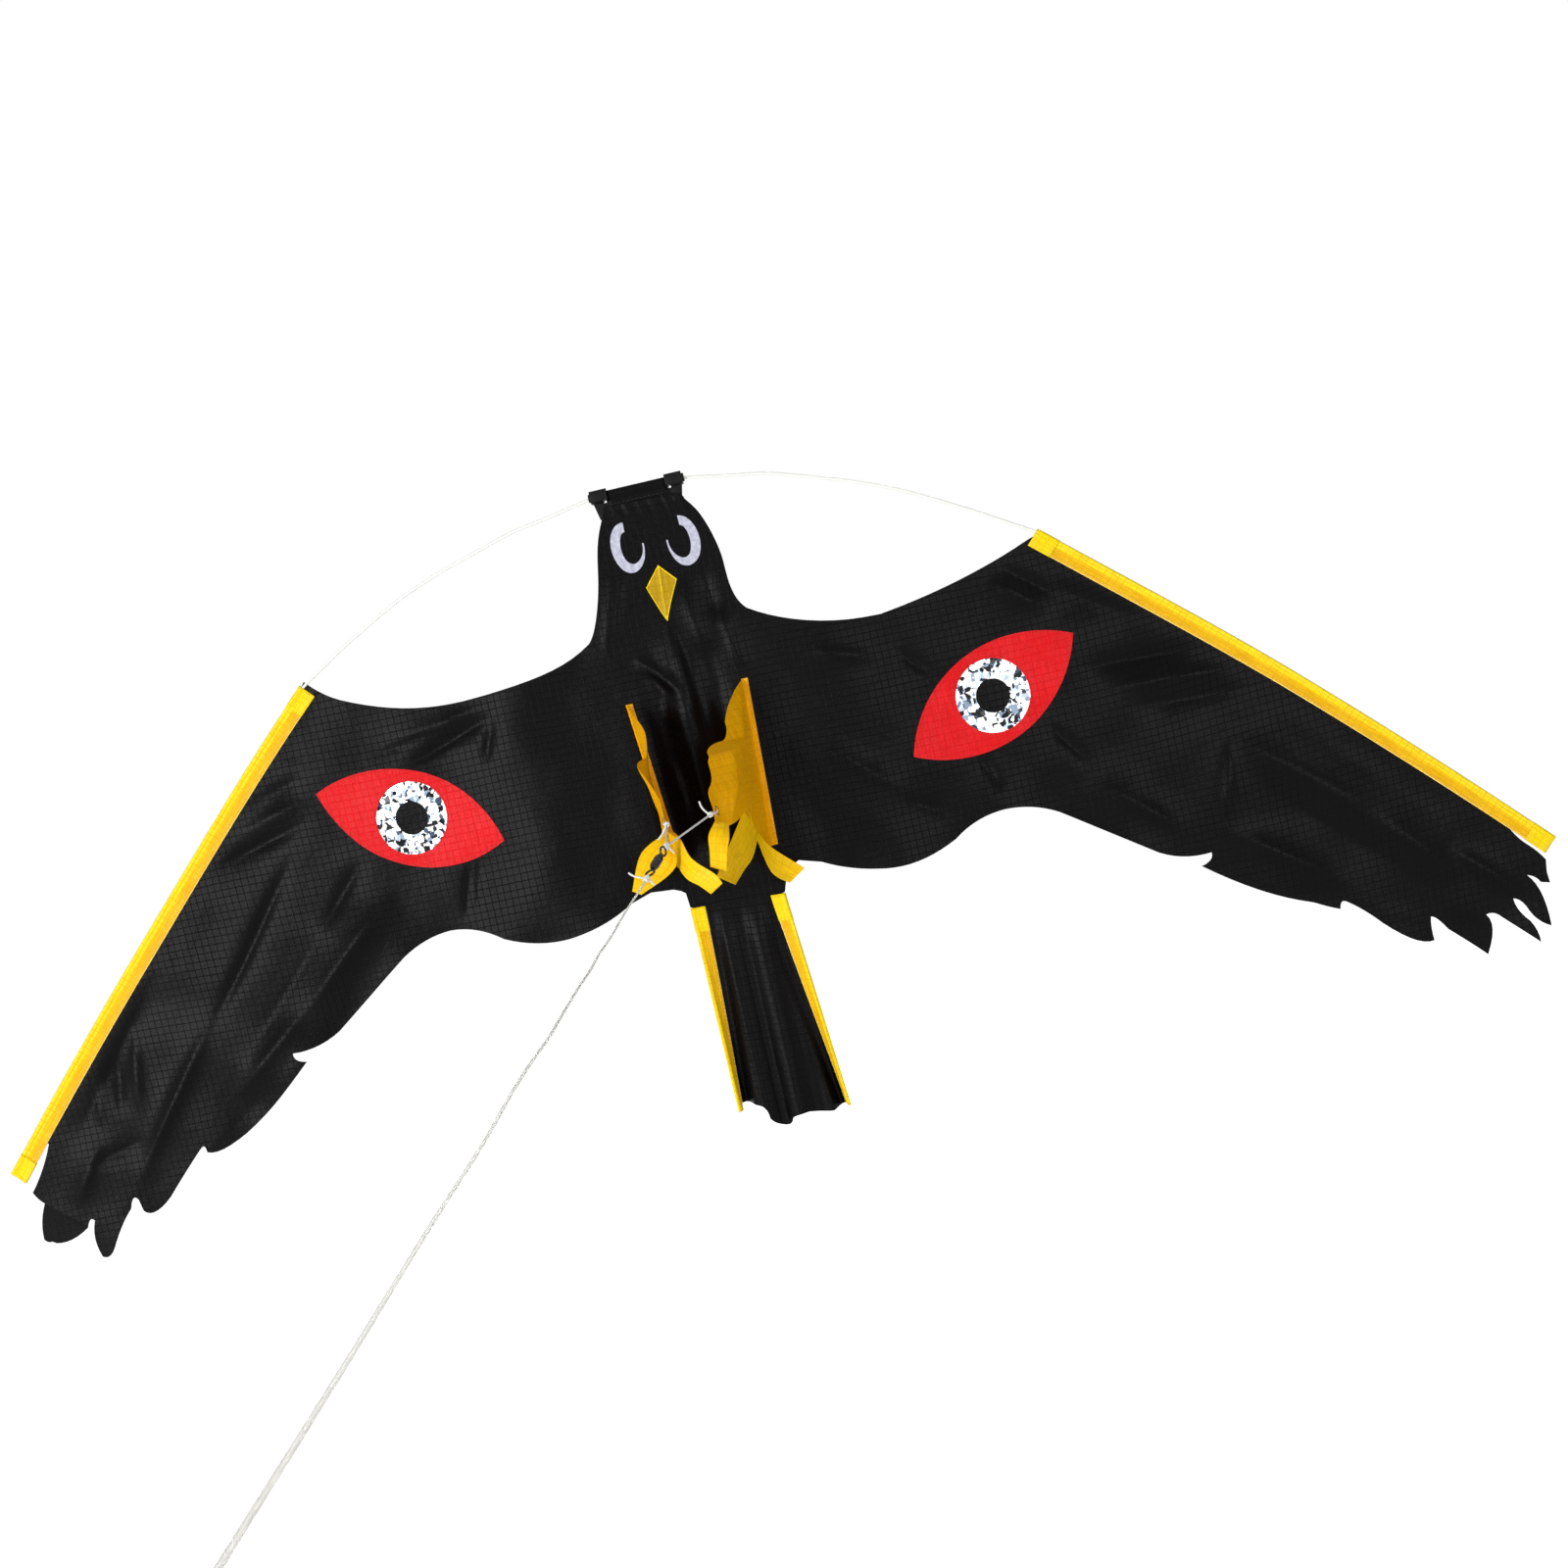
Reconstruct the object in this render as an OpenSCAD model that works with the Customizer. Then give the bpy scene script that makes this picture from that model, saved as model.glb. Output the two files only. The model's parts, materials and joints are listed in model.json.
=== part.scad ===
// Hawk kite of a bird scarer: a ripstop sail on two bowed glass-fibre spars, keels cut as
// legs with toes, a rod-stiffened tail, and a bridle with a barrel swivel and a flying line.
// Millimetres. +Z runs to the head, the belly faces -Y and the origin is the tow point.

/* [Sail cloth] */
// Thickness of the ripstop cloth, drawn thicker than the real 0.1 mm
cloth = 0.4; // [0.3:0.05:0.5]
// Thickness of the sewn-on patches
patch = 0.3; // [0.2:0.05:0.5]
// Half width of the body panel, out to the line where a wing flexes
body_half_w = 60; // [58:0.5:63]
// Angle by which each wing lies back behind the body
dihedral = 4.7; // [0:0.1:8]
// Gap left in the cloth along each line where it flexes
flex_gap = 0.3; // [0.2:0.05:0.6]
// Depth of the folds between the keels
body_fold = 6; // [0:0.5:8]
// Depth of the folds at the free edge of the tail
tail_fold = 7; // [0:0.5:9]

/* [Spars] */
// Diameter of the glass-fibre wing spars
spar_d = 2.5; // [2:0.1:3]
// Radius of each spar's bow between the head bar and the leading sleeve
bow_r = 347; // [335:1:360]
// Slope of the leading edge below the horizontal
sweep = 44; // [42:0.5:46]
// Gap in a spar at the line where the wing flexes
spar_gap = 0.7; // [0.6:0.1:1.5]
// Diameter of the tail rods
tail_rod_d = 2; // [1.5:0.1:2.5]
// Radial room for a rod in its sleeve or socket
rod_fit = 0.1; // [0.05:0.01:0.2]

/* [Sleeves] */
// Width of a leading sleeve
sleeve_w = 16; // [13:0.5:20]
// Length of a leading sleeve
sleeve_l = 482; // [465:1:500]
// Width of a tail sleeve
tail_sleeve_w = 10; // [8:0.5:12]
// Length of the folded tabs at the ends of a leading sleeve
tab_l = 20; // [12:1:30]
// Length of the tab on top of a tail sleeve
tail_tab_l = 21; // [12:1:30]
// Width of the stitching between a rod tunnel and the cloth that the sleeve holds
stitch_w = 1; // [0.8:0.1:2]

/* [Head bar] */
// Height of the head bar above the level of the wings' middle
bar_z = 181; // [179:0.5:184]
// Diameter of the head bar
bar_d = 6; // [5:0.1:7]
// Distance from the middle to the inner face of a head clip
clip_x = 23.3; // [22.5:0.1:25]
// Length of a head clip along the bar
clip_l = 13.7; // [12:0.1:15]
// Height and depth of a head clip
clip_h = 10; // [9:0.1:12]
// Depth to which the bar is pushed into a clip
clip_socket = 6; // [4:0.5:8]
// Diameter of the tie hole in a clip's lug
tie_hole_d = 2.2; // [1.5:0.1:2.5]

/* [Keels] */
// Distance from the middle to a keel's seam
keel_x = 46; // [44:0.5:48]
// Lean of the right keel towards the middle
right_lean = 17; // [10:0.5:22]
// Lean of the left keel towards the middle
left_lean = 12.5; // [8:0.5:22]
// Width of the hem that a keel is sewn to the belly with
keel_hem_w = 6; // [4:0.5:7]
// Distance from a keel's seam to its eyelet
eyelet_out = 105; // [103:0.5:106]
// Bore of the keel eyelets
eyelet_hole_d = 4.5; // [4:0.1:5]
// Width of the eyelets' flanges
eyelet_flange_d = 8.4; // [7.5:0.1:9]
// Thickness of an eyelet's metal
eyelet_wall = 0.5; // [0.3:0.05:0.6]

/* [Eye marks] */
// Length of the red almond on each wing
almond_l = 158; // [140:1:170]
// Height of the red almond
almond_h = 76; // [70:1:85]
// Outer diameter of the foil ring
foil_d = 58; // [50:1:62]
// Diameter of the bare round in the middle of the foil ring
pupil_d = 27; // [20:1:34]
// Tilt of the almond, outer end up
almond_tilt = 25; // [15:1:35]

/* [Bridle and line] */
// Diameter of the bridle and line cord
cord_d = 1.4; // [1.2:0.05:1.6]
// Diameter of the cord's knots
knot_d = 4.6; // [4:0.1:5.2]
// Diameter of the swivel's barrel
barrel_d = 6.4; // [5.5:0.1:7]
// Length of the swivel's barrel
barrel_l = 14; // [12:0.5:15]
// Middle diameter of the swivel's wire eyes
swivel_eye_d = 6.4; // [6:0.1:7]
// Diameter of the swivel's wire
swivel_wire_d = 1.5; // [1.2:0.05:1.6]
// Radial room of the swivel's wire in the barrel
swivel_fit = 0.06; // [0.03:0.01:0.1]
// Length of the loop at the end of the line
end_loop_l = 30; // [24:1:40]
// Width of the loop at the end of the line
end_loop_w = 14; // [10:1:18]

/* [Hidden] */
$fn = 48;

// Colours
sail_black = "#1d1b1f";
sleeve_yellow = "#e8b400";
tab_yellow = "#ffe01a";
keel_yellow = "#f5b000";
eye_red = "#e3171b";
foil_grey = "#c9ced8";
mark_white = "#d8d8e6";
plastic_black = "#18181a";
rod_white = "#f0f0ec";
cord_white = "#e9e7df";
eyelet_brass = "#b8924a";
swivel_black = "#202022";

// Tow point in the sail's own frame, where y = 0 is the cloth and x = 0 the middle of the body
tow = [-16, -180, -89];
// Way from the tow point along the swivel
swivel_way = [-15.5, -30, -18.5];
swivel_dir = swivel_way / norm(swivel_way);

// Heights in the sail's frame
flat_above = 72;
hem_edge_z = -132;
tail_z = -138.5;
keel_top = 17;
keel_bottom = -116;
eyelet_z = -76;
eye_mark_at = [238, -36];
knot_at = [eyelet_out + 12, eyelet_z - 1];

// Tail sleeves: top level, end level, and x of the left and right outer edges at both
tail_top = -150;
tail_end = -322;
tail_edge = [[-32, -31], [44, 58]];

// Where a rod tunnel and the cloth edge lie in a sleeve
function tunnel_r(rod_d) = rod_d / 2 + rod_fit + cloth;
function hem_in(rod_d) = 2 * tunnel_r(rod_d) + stitch_w;
spar_in = [body_half_w + bow_r * sin(sweep), bar_z - bow_r * (1 - cos(sweep))];
along = [cos(sweep), -sin(sweep)];
behind = [-sin(sweep), -cos(sweep)];
// Point of a leading sleeve, t along it and p behind its leading edge
function on_sleeve(t, p) = spar_in + t * along + (p - tunnel_r(spar_d)) * behind;
head_top = bar_z - tunnel_r(bar_d) - stitch_w;
head_hem_half = clip_x - 2;
head_hem_w = hem_in(bar_d) + 5;

// Curve from a to b drawn towards c, without its last point
function bow(a, c, b, n = 8) =
    [for (i = [0 : n - 1]) let (t = i / n) (1 - t) * (1 - t) * a + 2 * t * (1 - t) * c + t * t * b];
// Smooth step from 0 at a to 1 at b
function step(x, a, b) = let (t = max(0, min(1, (x - a) / (b - a)))) t * t * (3 - 2 * t);

// Right half of the head's outline, from the pinch under the clip to the shoulder
head_edge = concat(
    bow([32.5, 166], [44, 146], [50, 112]),
    bow([50, 112], [54, 80], [64, 70.5]));
function head_half_w(z) =
    min(body_half_w - flex_gap / 2, lookup(z, [for (p = head_edge) [p.y, p.x]]));

// Right half of the sail outboard of the shoulder, with the feathers of the wing tip
feather_root = sleeve_l - 40;
wing_outline = concat(
    [[50, 71]],
    bow([64, 70.5], [100, 47], [165, 46]),
    bow([165, 46], [236, 49], on_sleeve(0, hem_in(spar_d))),
    [on_sleeve(0, hem_in(spar_d)), on_sleeve(feather_root, hem_in(spar_d))],
    [on_sleeve(feather_root, sleeve_w - 4)],
    bow([642, -268], [643, -276], [638, -282], 3),
    bow([638, -282], [630, -279], [621, -273], 3),
    bow([621, -273], [634, -296], [633, -317], 4),
    bow([633, -317], [618, -306], [606, -288], 4),
    bow([606, -288], [616, -306], [621, -327], 4),
    bow([621, -327], [606, -308], [584, -295], 4),
    bow([584, -295], [590, -312], [581, -331], 4),
    bow([581, -331], [562, -308], [543, -287], 4),
    bow([543, -287], [546, -300], [538, -307], 3),
    bow([538, -307], [520, -304], [474, -258], 5),
    [[471, -266]],
    bow([466, -265], [416, -246], [371, -208], 6),
    bow([371, -208], [382, -206], [381, -199], 3),
    bow([381, -199], [356, -201], [334, -186], 5),
    bow([270, -141], [250, -129], [228, -128.5], 5),
    bow([228, -128.5], [205, -129], [185, -143.5], 5),
    bow([185, -143.5], [152, -159], [120, -152.5], 6),
    bow([120, -152.5], [93, -148], [72, -134], 5),
    [[body_half_w, hem_edge_z], [50, hem_edge_z]]);

// Right keel: distance out from the seam, height; a leg with a front and a middle toe
keel_outline = concat(
    [[0.75 * cloth, keel_top], [8, keel_top - 3]],
    bow([14, 4], [34, -14], [50, -13], 5),
    bow([50, -13], [52, -24], [62, -27], 4),
    bow([62, -27], [90, -27], [96, -40], 5),
    bow([96, -40], [95, -50], [102, -56], 4),
    bow([102, -56], [113, -62], [111, -72], 5),
    bow([111, -72], [110, -80], [113, -86], 4),
    bow([113, -86], [118, -92], [118, -104], 4),
    [[119, -114], [111, -119], [90, -99], [52, -80], [86, -104], [112, -124], [96, -133]],
    [[51, -117], [10, -119], [0.75 * cloth, keel_bottom]]);
// Back toe, which lies along the belly and hangs below its edge
back_toe = [[-1, -104], [5, -106], [17, -142], [8, -148], [-2, -118]];

// Route of the line from its knot, counted from the tow point
line_route = [
    swivel_dir * 36, [-20, -40, -24], [-26, -59, -31], [-30, -80, -37], [-34, -111, -44],
    [-36, -146, -48], [-36, -185, -52], [-35, -230, -54], [-32, -280, -55], [-27, -340, -55],
    [-20, -410, -54], [-12, -489, -51], [-2, -579, -48], [10, -678, -45], [21, -787, -42],
    [32, -897, -40], [41, -1000, -39], [43, -1020, -39]];
line_end = line_route[len(line_route) - 1];
line_end_way = line_end - line_route[len(line_route) - 2];
rings_per_span = 3;

// Distances along the swivel from the tow point
upper_eye_at = knot_d / 2 + swivel_eye_d / 2;
barrel_at = upper_eye_at + swivel_eye_d / 2 + swivel_wire_d / 2 + 1;
lower_eye_at = 2 * barrel_at + barrel_l - upper_eye_at;
line_knot_at = lower_eye_at + upper_eye_at;

// Puts what is drawn in the sail's frame into the kite's frame
module from_tow() {
    translate(-tow) children();
}

// Stands a drawing up as a plate whose front lies at y
module upright(y, t) {
    translate([0, y + t, 0]) rotate([90, 0, 0]) linear_extrude(t) children();
}

// Puts what is drawn on the flat right half onto a wing; side is 1 on the right, -1 on the left
module on_wing(side) {
    from_tow()
        mirror([side < 0 ? 1 : 0, 0, 0])
            translate([body_half_w, 0, 0]) rotate([0, 0, dihedral]) translate([-body_half_w, 0, 0])
                children();
}

// Puts what is drawn along +Z, with the cloth towards +X, onto a leading sleeve
module along_sleeve(side) {
    on_wing(side) translate([spar_in.x, 0, spar_in.y]) rotate([0, 90 + sweep, 0]) children();
}

// Puts what is drawn along +Z, with the cloth towards +X, onto a tail sleeve
module along_tail(side) {
    edge = tail_edge[side < 0 ? 0 : 1];
    turn = atan2(edge[1] - edge[0], tail_end - tail_top);
    from_tow()
        translate([edge[0] - side * tunnel_r(tail_rod_d), 0, tail_top]) rotate([0, turn, 0])
            mirror([side < 0 ? 1 : 0, 0, 0]) children();
}
function tail_sleeve_l(side) =
    let (edge = tail_edge[side < 0 ? 0 : 1]) norm([edge[1] - edge[0], tail_end - tail_top]);

// Puts what is drawn in a keel's own frame, out along +X from the seam, onto a keel
module on_keel(side) {
    from_tow()
        mirror([side < 0 ? 1 : 0, 0, 0])
            translate([keel_x, 0, 0]) rotate([0, 0, -90 - (side < 0 ? left_lean : right_lean)])
                children();
}
// Place of a keel point, out from the seam and up, counted from the tow point
function keel_point(side, p) =
    let (lean = side < 0 ? left_lean : right_lean)
    [side * (keel_x - p.x * sin(lean)), -p.x * cos(lean), p.y] - tow;

// Points what is drawn along +Z from a point in a given way
module aim(at, way) {
    translate(at) rotate([0, acos(way.z / norm(way)), atan2(way.y, way.x)]) children();
}

// Outside of a hem folded round a rod, grown by a given amount
module hem_outside(rod_d, w, grow) {
    circle(tunnel_r(rod_d) + grow);
    translate([0, -1.5 * cloth - grow]) square([w - tunnel_r(rod_d), 3 * cloth + 2 * grow]);
}

// Hem with its rod tunnel, and the slot that the cloth lies in
module hem(rod_d, w) {
    difference() {
        hem_outside(rod_d, w, 0);
        circle(rod_d / 2 + rod_fit);
        translate([hem_in(rod_d) - tunnel_r(rod_d), -cloth / 2]) square([w, cloth]);
    }
}

// Tab folded over the end of a hem
tab_room = 0.05;
module tab(rod_d, w) {
    difference() {
        hem_outside(rod_d, w, tab_room + cloth);
        hem_outside(rod_d, w + 1, tab_room);
    }
}

// Closed sheet of cloth through a grid of points: rows run down, columns to the right
module sheet(grid) {
    rows = len(grid);
    cols = len(grid[0]);
    back = rows * cols;
    half = [0, cloth / 2, 0];
    points = concat(
        [for (r = grid) for (p = r) p - half],
        [for (r = grid) for (p = r) p + half]);
    function f(r, c) = r * cols + c;
    function b(r, c) = back + r * cols + c;
    last_r = rows - 1;
    last_c = cols - 1;
    faces = concat(
        [for (r = [0 : last_r - 1]) for (c = [0 : last_c - 1]) each [
            [f(r, c), f(r, c + 1), f(r + 1, c + 1)], [f(r, c), f(r + 1, c + 1), f(r + 1, c)],
            [b(r, c), b(r + 1, c + 1), b(r, c + 1)], [b(r, c), b(r + 1, c), b(r + 1, c + 1)]]],
        [for (c = [0 : last_c - 1]) each [
            [f(0, c), b(0, c), b(0, c + 1)], [f(0, c), b(0, c + 1), f(0, c + 1)],
            [f(last_r, c), b(last_r, c + 1), b(last_r, c)],
            [f(last_r, c), f(last_r, c + 1), b(last_r, c + 1)]]],
        [for (r = [0 : last_r - 1]) each [
            [b(r, 0), f(r, 0), f(r + 1, 0)], [b(r, 0), f(r + 1, 0), b(r + 1, 0)],
            [f(r, last_c), b(r, last_c), b(r + 1, last_c)],
            [f(r, last_c), b(r + 1, last_c), f(r + 1, last_c)]]]);
    polyhedron(points, faces);
}

// Round cord through a list of points; across is a way that the cord never runs in
cord_sides = 8;
module cord(path, across, closed = false) {
    n = len(path);
    function at(i) = path[closed ? (i + n) % n : max(0, min(n - 1, i))];
    function unit(v) = v / norm(v);
    rings = [for (i = [0 : n - 1])
        let (t = unit(at(i + 1) - at(i - 1)), u = unit(cross(t, across)), v = cross(t, u))
        for (j = [0 : cord_sides - 1])
            let (a = 360 * j / cord_sides) path[i] + cord_d / 2 * (cos(a) * u + sin(a) * v)];
    function q(i, j) = (i % n) * cord_sides + j % cord_sides;
    sides = [for (i = [0 : closed ? n - 1 : n - 2]) for (j = [0 : cord_sides - 1]) each [
        [q(i, j), q(i + 1, j), q(i + 1, j + 1)], [q(i, j), q(i + 1, j + 1), q(i, j + 1)]]];
    caps = closed ? [] : [for (j = [1 : cord_sides - 2]) each [
        [q(0, 0), q(0, j), q(0, j + 1)], [q(n - 1, 0), q(n - 1, j + 1), q(n - 1, j)]]];
    polyhedron(rings, concat(sides, caps));
}

// Loop with round ends in the XY plane, from x = 0 to x = l
function loop_path(l, w, n = 8) = concat(
    [for (i = [0 : n]) let (a = 90 + 180 * i / n) [w / 2 + w / 2 * cos(a), w / 2 * sin(a), 0]],
    [for (i = [0 : n]) let (a = -90 + 180 * i / n) [l - w / 2 + w / 2 * cos(a), w / 2 * sin(a), 0]]);

// Smooth curve through all points of a route
function through(p, n) = concat(
    [for (i = [0 : len(p) - 2]) for (k = [0 : n - 1])
        let (t = k / n, a = p[max(0, i - 1)], b = p[i], c = p[i + 1], d = p[min(len(p) - 1, i + 2)])
        0.5 * (2 * b + (c - a) * t + (2 * a - 5 * b + 4 * c - d) * t * t
            + (3 * b - 3 * c + d - a) * t * t * t)],
    [p[len(p) - 1]]);

// Knot of three turns of cord, about +Z
module knot() {
    turn_r = knot_d / 6;
    rotate_extrude()
        difference() {
            union() {
                for (i = [-1 : 1]) translate([knot_d / 2 - turn_r, 2 * turn_r * i]) circle(turn_r);
                translate([0, -2.6 * turn_r]) square([knot_d / 2 - turn_r, 5.2 * turn_r]);
            }
            translate([-knot_d, -knot_d]) square([knot_d, 2 * knot_d]);
        }
}

// Folds of the cloth that hangs between the keels
fold_pitch = 62;
function body_y(x, z) = abs(x) >= keel_x ? 0 :
    -body_fold * step(z, flat_above, -10) * step(z, tail_z, -90)
        * cos(360 * x / fold_pitch) * (1 - pow(x / keel_x, 2));
body_rows = [
    [head_top, head_hem_half, head_hem_half], [head_top - 4, head_hem_half, head_hem_half],
    [head_top - 6, 31.5, 31.5],
    for (z = [166, 158, 150, 140, 130, 120, 112, 104, 96, 88, 80, flat_above])
        [z, head_half_w(z), head_half_w(z)],
    for (z = [60, 42, 24, 6, -12, -30, -48, -66, -84, -102, -115, -125, hem_edge_z])
        [z, body_half_w - flex_gap / 2, body_half_w - flex_gap / 2],
    [tail_z + flex_gap / 2, -tail_edge[0][0], tail_edge[1][0]]];
fold_columns = 6;
body_columns = concat(
    [-1], [for (i = [-fold_columns : fold_columns]) i / fold_columns * keel_x / body_half_w], [1]);
module body_panel() {
    color(sail_black)
        from_tow()
            sheet([for (r = body_rows) [for (c = body_columns)
                let (x = c * (c < 0 ? r[1] : r[2])) [x, body_y(x, r[0]), r[0]]]]);
}

module wing_panel(side) {
    color(sail_black)
        on_wing(side)
            upright(-cloth / 2, cloth)
                intersection() {
                    polygon(wing_outline);
                    translate([body_half_w + flex_gap / 2, -2 * sleeve_l])
                        square([4 * sleeve_l, 4 * sleeve_l]);
                }
}

// Tail cloth: flat at its root and in its sleeves, folded towards a wavy free edge
function edge_x(side, z) =
    let (e = tail_edge[side < 0 ? 0 : 1])
    e[0] + (e[1] - e[0]) * max(0, (tail_top - z) / (tail_top - tail_end));
tail_flat_w = tail_sleeve_w;
tail_shoulder = 0.6;
slot_room = 0.15;
tail_columns = 10;
tail_rows = 9;
tail_tip = 12;
function tail_point(side_v, z, inset) =
    let (l = edge_x(-1, z) + inset, r = edge_x(1, z) - inset) (l + r) / 2 + side_v * (r - l) / 2;
function tail_y(v, t) = -tail_fold * t * cos(400 * v) * (1 - v * v);
function tail_free_z(v) = tail_end + 2 - tail_tip * exp(-pow(v / 0.3, 2));
function tail_row(z, inset) = concat(
    [[tail_point(-1, z, inset), 0, z]],
    [for (i = [0 : tail_columns])
        [tail_point(-1 + 2 * i / tail_columns, z, inset + tail_flat_w), 0, z]],
    [[tail_point(1, z, inset), 0, z]]);
module tail_panel() {
    inset = hem_in(tail_rod_d) + slot_room;
    below = tail_top + tab_room + cloth + slot_room;
    color(sail_black)
        from_tow()
            sheet(concat(
                [tail_row(tail_z - flex_gap / 2, 0), tail_row(below + tail_shoulder, 0)],
                [for (j = [0 : tail_rows])
                    let (t = j / tail_rows)
                    [for (i = [-1 : tail_columns + 1])
                        let (v = max(-1, min(1, -1 + 2 * i / tail_columns)),
                             side_in = (i < 0 || i > tail_columns) ? inset : inset + tail_flat_w,
                             z = below + t * (tail_free_z(v) - below))
                        [tail_point(v, z, side_in), tail_y(v, t), z]]]));
}

module head_hem() {
    color(sail_black)
        from_tow()
            translate([-head_hem_half, 0, bar_z]) rotate([0, 90, 0])
                linear_extrude(2 * head_hem_half) hem(bar_d, head_hem_w);
}

module leading_sleeve(side) {
    color(sleeve_yellow) along_sleeve(side) linear_extrude(sleeve_l) hem(spar_d, sleeve_w);
}

module inner_tab(side) {
    color(tab_yellow) along_sleeve(side) linear_extrude(tab_l) tab(spar_d, sleeve_w);
}

// The tab at the tip is closed over the end of the spar
module tip_tab(side) {
    color(tab_yellow)
        along_sleeve(side) {
            translate([0, 0, sleeve_l - tab_l]) linear_extrude(tab_l + tab_room) tab(spar_d, sleeve_w);
            translate([0, 0, sleeve_l + tab_room])
                linear_extrude(cloth) hem_outside(spar_d, sleeve_w, tab_room + cloth);
        }
}

// Wing spar: a bow from the flex line to the sleeve, then straight to the tip and a little thinner
spar_ease = 0.06;
module spar(side) {
    color(rod_white) {
        on_wing(side)
            translate([body_half_w, 0, bar_z - bow_r]) rotate([90, 0, 0]) rotate([0, 0, 90 - sweep])
                rotate_extrude(angle = sweep) translate([bow_r, 0]) circle(d = spar_d);
        along_sleeve(side) translate([0, 0, -0.2]) cylinder(d = spar_d - spar_ease, h = sleeve_l - 1);
    }
}

// Root of a wing spar, in the head bar
spar_root_from = 1;
module spar_root(side) {
    color(rod_white)
        from_tow()
            translate([side * spar_root_from, 0, bar_z]) rotate([0, side * 90, 0])
                cylinder(d = spar_d, h = body_half_w - spar_gap - spar_root_from);
}

module head_bar() {
    half = clip_x + clip_socket;
    color(plastic_black)
        from_tow()
            translate([-half, 0, bar_z]) rotate([0, 90, 0])
                difference() {
                    cylinder(d = bar_d, h = 2 * half);
                    translate([0, 0, -1]) cylinder(d = spar_d + 2 * rod_fit, h = 2 * half + 2);
                }
}

// Moulded clip on the end of the head bar, with a socket, a nose round the spar and a sewn lug
clip_chamfer = 1.5;
clip_nose = 1.5;
lug_t = 1.6;
lug_hole_at = [clip_x + 2.7, bar_z - 4.7];
module clip_section() {
    h = clip_h / 2;
    c = h - clip_chamfer;
    polygon([[-h, -c], [-c, -h], [c, -h], [h, -c], [h, c], [c, h], [-c, h], [-h, c]]);
}
module head_clip(side) {
    color(plastic_black)
        from_tow()
            mirror([side < 0 ? 1 : 0, 0, 0])
                difference() {
                    union() {
                        translate([clip_x, 0, bar_z]) rotate([0, 90, 0]) {
                            linear_extrude(clip_l) clip_section();
                            cylinder(d = clip_h * 0.66, h = clip_l + clip_nose);
                        }
                        upright(cloth / 2, lug_t)
                            polygon([
                                [clip_x - 1, bar_z - clip_h / 2 + 1],
                                [clip_x + clip_l - 1, bar_z - clip_h / 2 + 1],
                                [33, 163], [27, 163], [clip_x - 1, lug_hole_at.y - 4]]);
                    }
                    translate([clip_x - 1, 0, bar_z]) rotate([0, 90, 0]) {
                        cylinder(d = bar_d + 2 * tab_room, h = clip_socket + 1);
                        cylinder(d = spar_d + 2 * rod_fit, h = clip_l + clip_nose + 2);
                    }
                    translate([lug_hole_at.x, 0, lug_hole_at.y]) rotate([90, 0, 0])
                        cylinder(d = tie_hole_d, h = 2 * clip_h, center = true);
                }
}

// Keel: hem on the belly, leg with toes leaning to the middle, and the back toe
module keel(side) {
    color(keel_yellow) {
        on_keel(side)
            difference() {
                upright(-cloth / 2, cloth) polygon(keel_outline);
                translate([eyelet_out, 0, eyelet_z]) rotate([90, 0, 0])
                    cylinder(d = eyelet_hole_d + 2 * eyelet_wall + 2 * tab_room, h = 4, center = true);
            }
        from_tow()
            mirror([side < 0 ? 1 : 0, 0, 0])
                translate([keel_x, 0, 0])
                    upright(-1.5 * cloth, cloth) {
                        translate([-1, keel_bottom])
                            square([keel_hem_w + 1, keel_top - keel_bottom]);
                        polygon(back_toe);
                    }
    }
}

// Brass eyelet rolled round the hole in a keel
module eyelet(side) {
    hole_r = eyelet_hole_d / 2;
    flange_r = eyelet_flange_d / 2;
    face = cloth / 2 + eyelet_wall;
    color(eyelet_brass)
        on_keel(side)
            translate([eyelet_out, 0, eyelet_z]) rotate([90, 0, 0])
                rotate_extrude()
                    polygon([
                        [hole_r, -cloth / 2], [hole_r + eyelet_wall / 2, -face],
                        [flange_r - eyelet_wall / 2, -face], [flange_r, -cloth / 2],
                        [hole_r + eyelet_wall, -cloth / 2], [hole_r + eyelet_wall, cloth / 2],
                        [flange_r, cloth / 2], [flange_r - eyelet_wall / 2, face],
                        [hole_r + eyelet_wall / 2, face], [hole_r, cloth / 2]]);
}

module tail_sleeve(side) {
    color(sleeve_yellow)
        along_tail(side) linear_extrude(tail_sleeve_l(side)) hem(tail_rod_d, tail_sleeve_w);
}

// The tab on top of a tail sleeve closes the rod's tunnel
module tail_tab(side) {
    color(tab_yellow)
        along_tail(side) {
            translate([0, 0, -tab_room]) linear_extrude(tail_tab_l + tab_room)
                tab(tail_rod_d, tail_sleeve_w);
            translate([0, 0, -tab_room - cloth])
                linear_extrude(cloth)
                    difference() {
                        hem_outside(tail_rod_d, tail_sleeve_w, tab_room + cloth);
                        translate([tunnel_r(tail_rod_d), -cloth / 2]) square([tail_sleeve_w, cloth]);
                    }
        }
}

module tail_rod(side) {
    color(rod_white)
        along_tail(side) translate([0, 0, 1]) cylinder(d = tail_rod_d, h = tail_sleeve_l(side) - 2);
}

// Red almond, cut out round the foil
foil_room = 1;
module eye_patch(side) {
    arc_r = (pow(almond_l / 2, 2) + pow(almond_h / 2, 2)) / almond_h;
    color(eye_red)
        on_wing(side)
            upright(-cloth / 2 - patch, patch)
                translate(eye_mark_at) rotate(almond_tilt)
                    difference() {
                        intersection() {
                            translate([0, arc_r - almond_h / 2]) circle(arc_r, $fn = 160);
                            translate([0, almond_h / 2 - arc_r]) circle(arc_r, $fn = 160);
                        }
                        circle(d = foil_d + 2 * foil_room);
                    }
}

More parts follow.
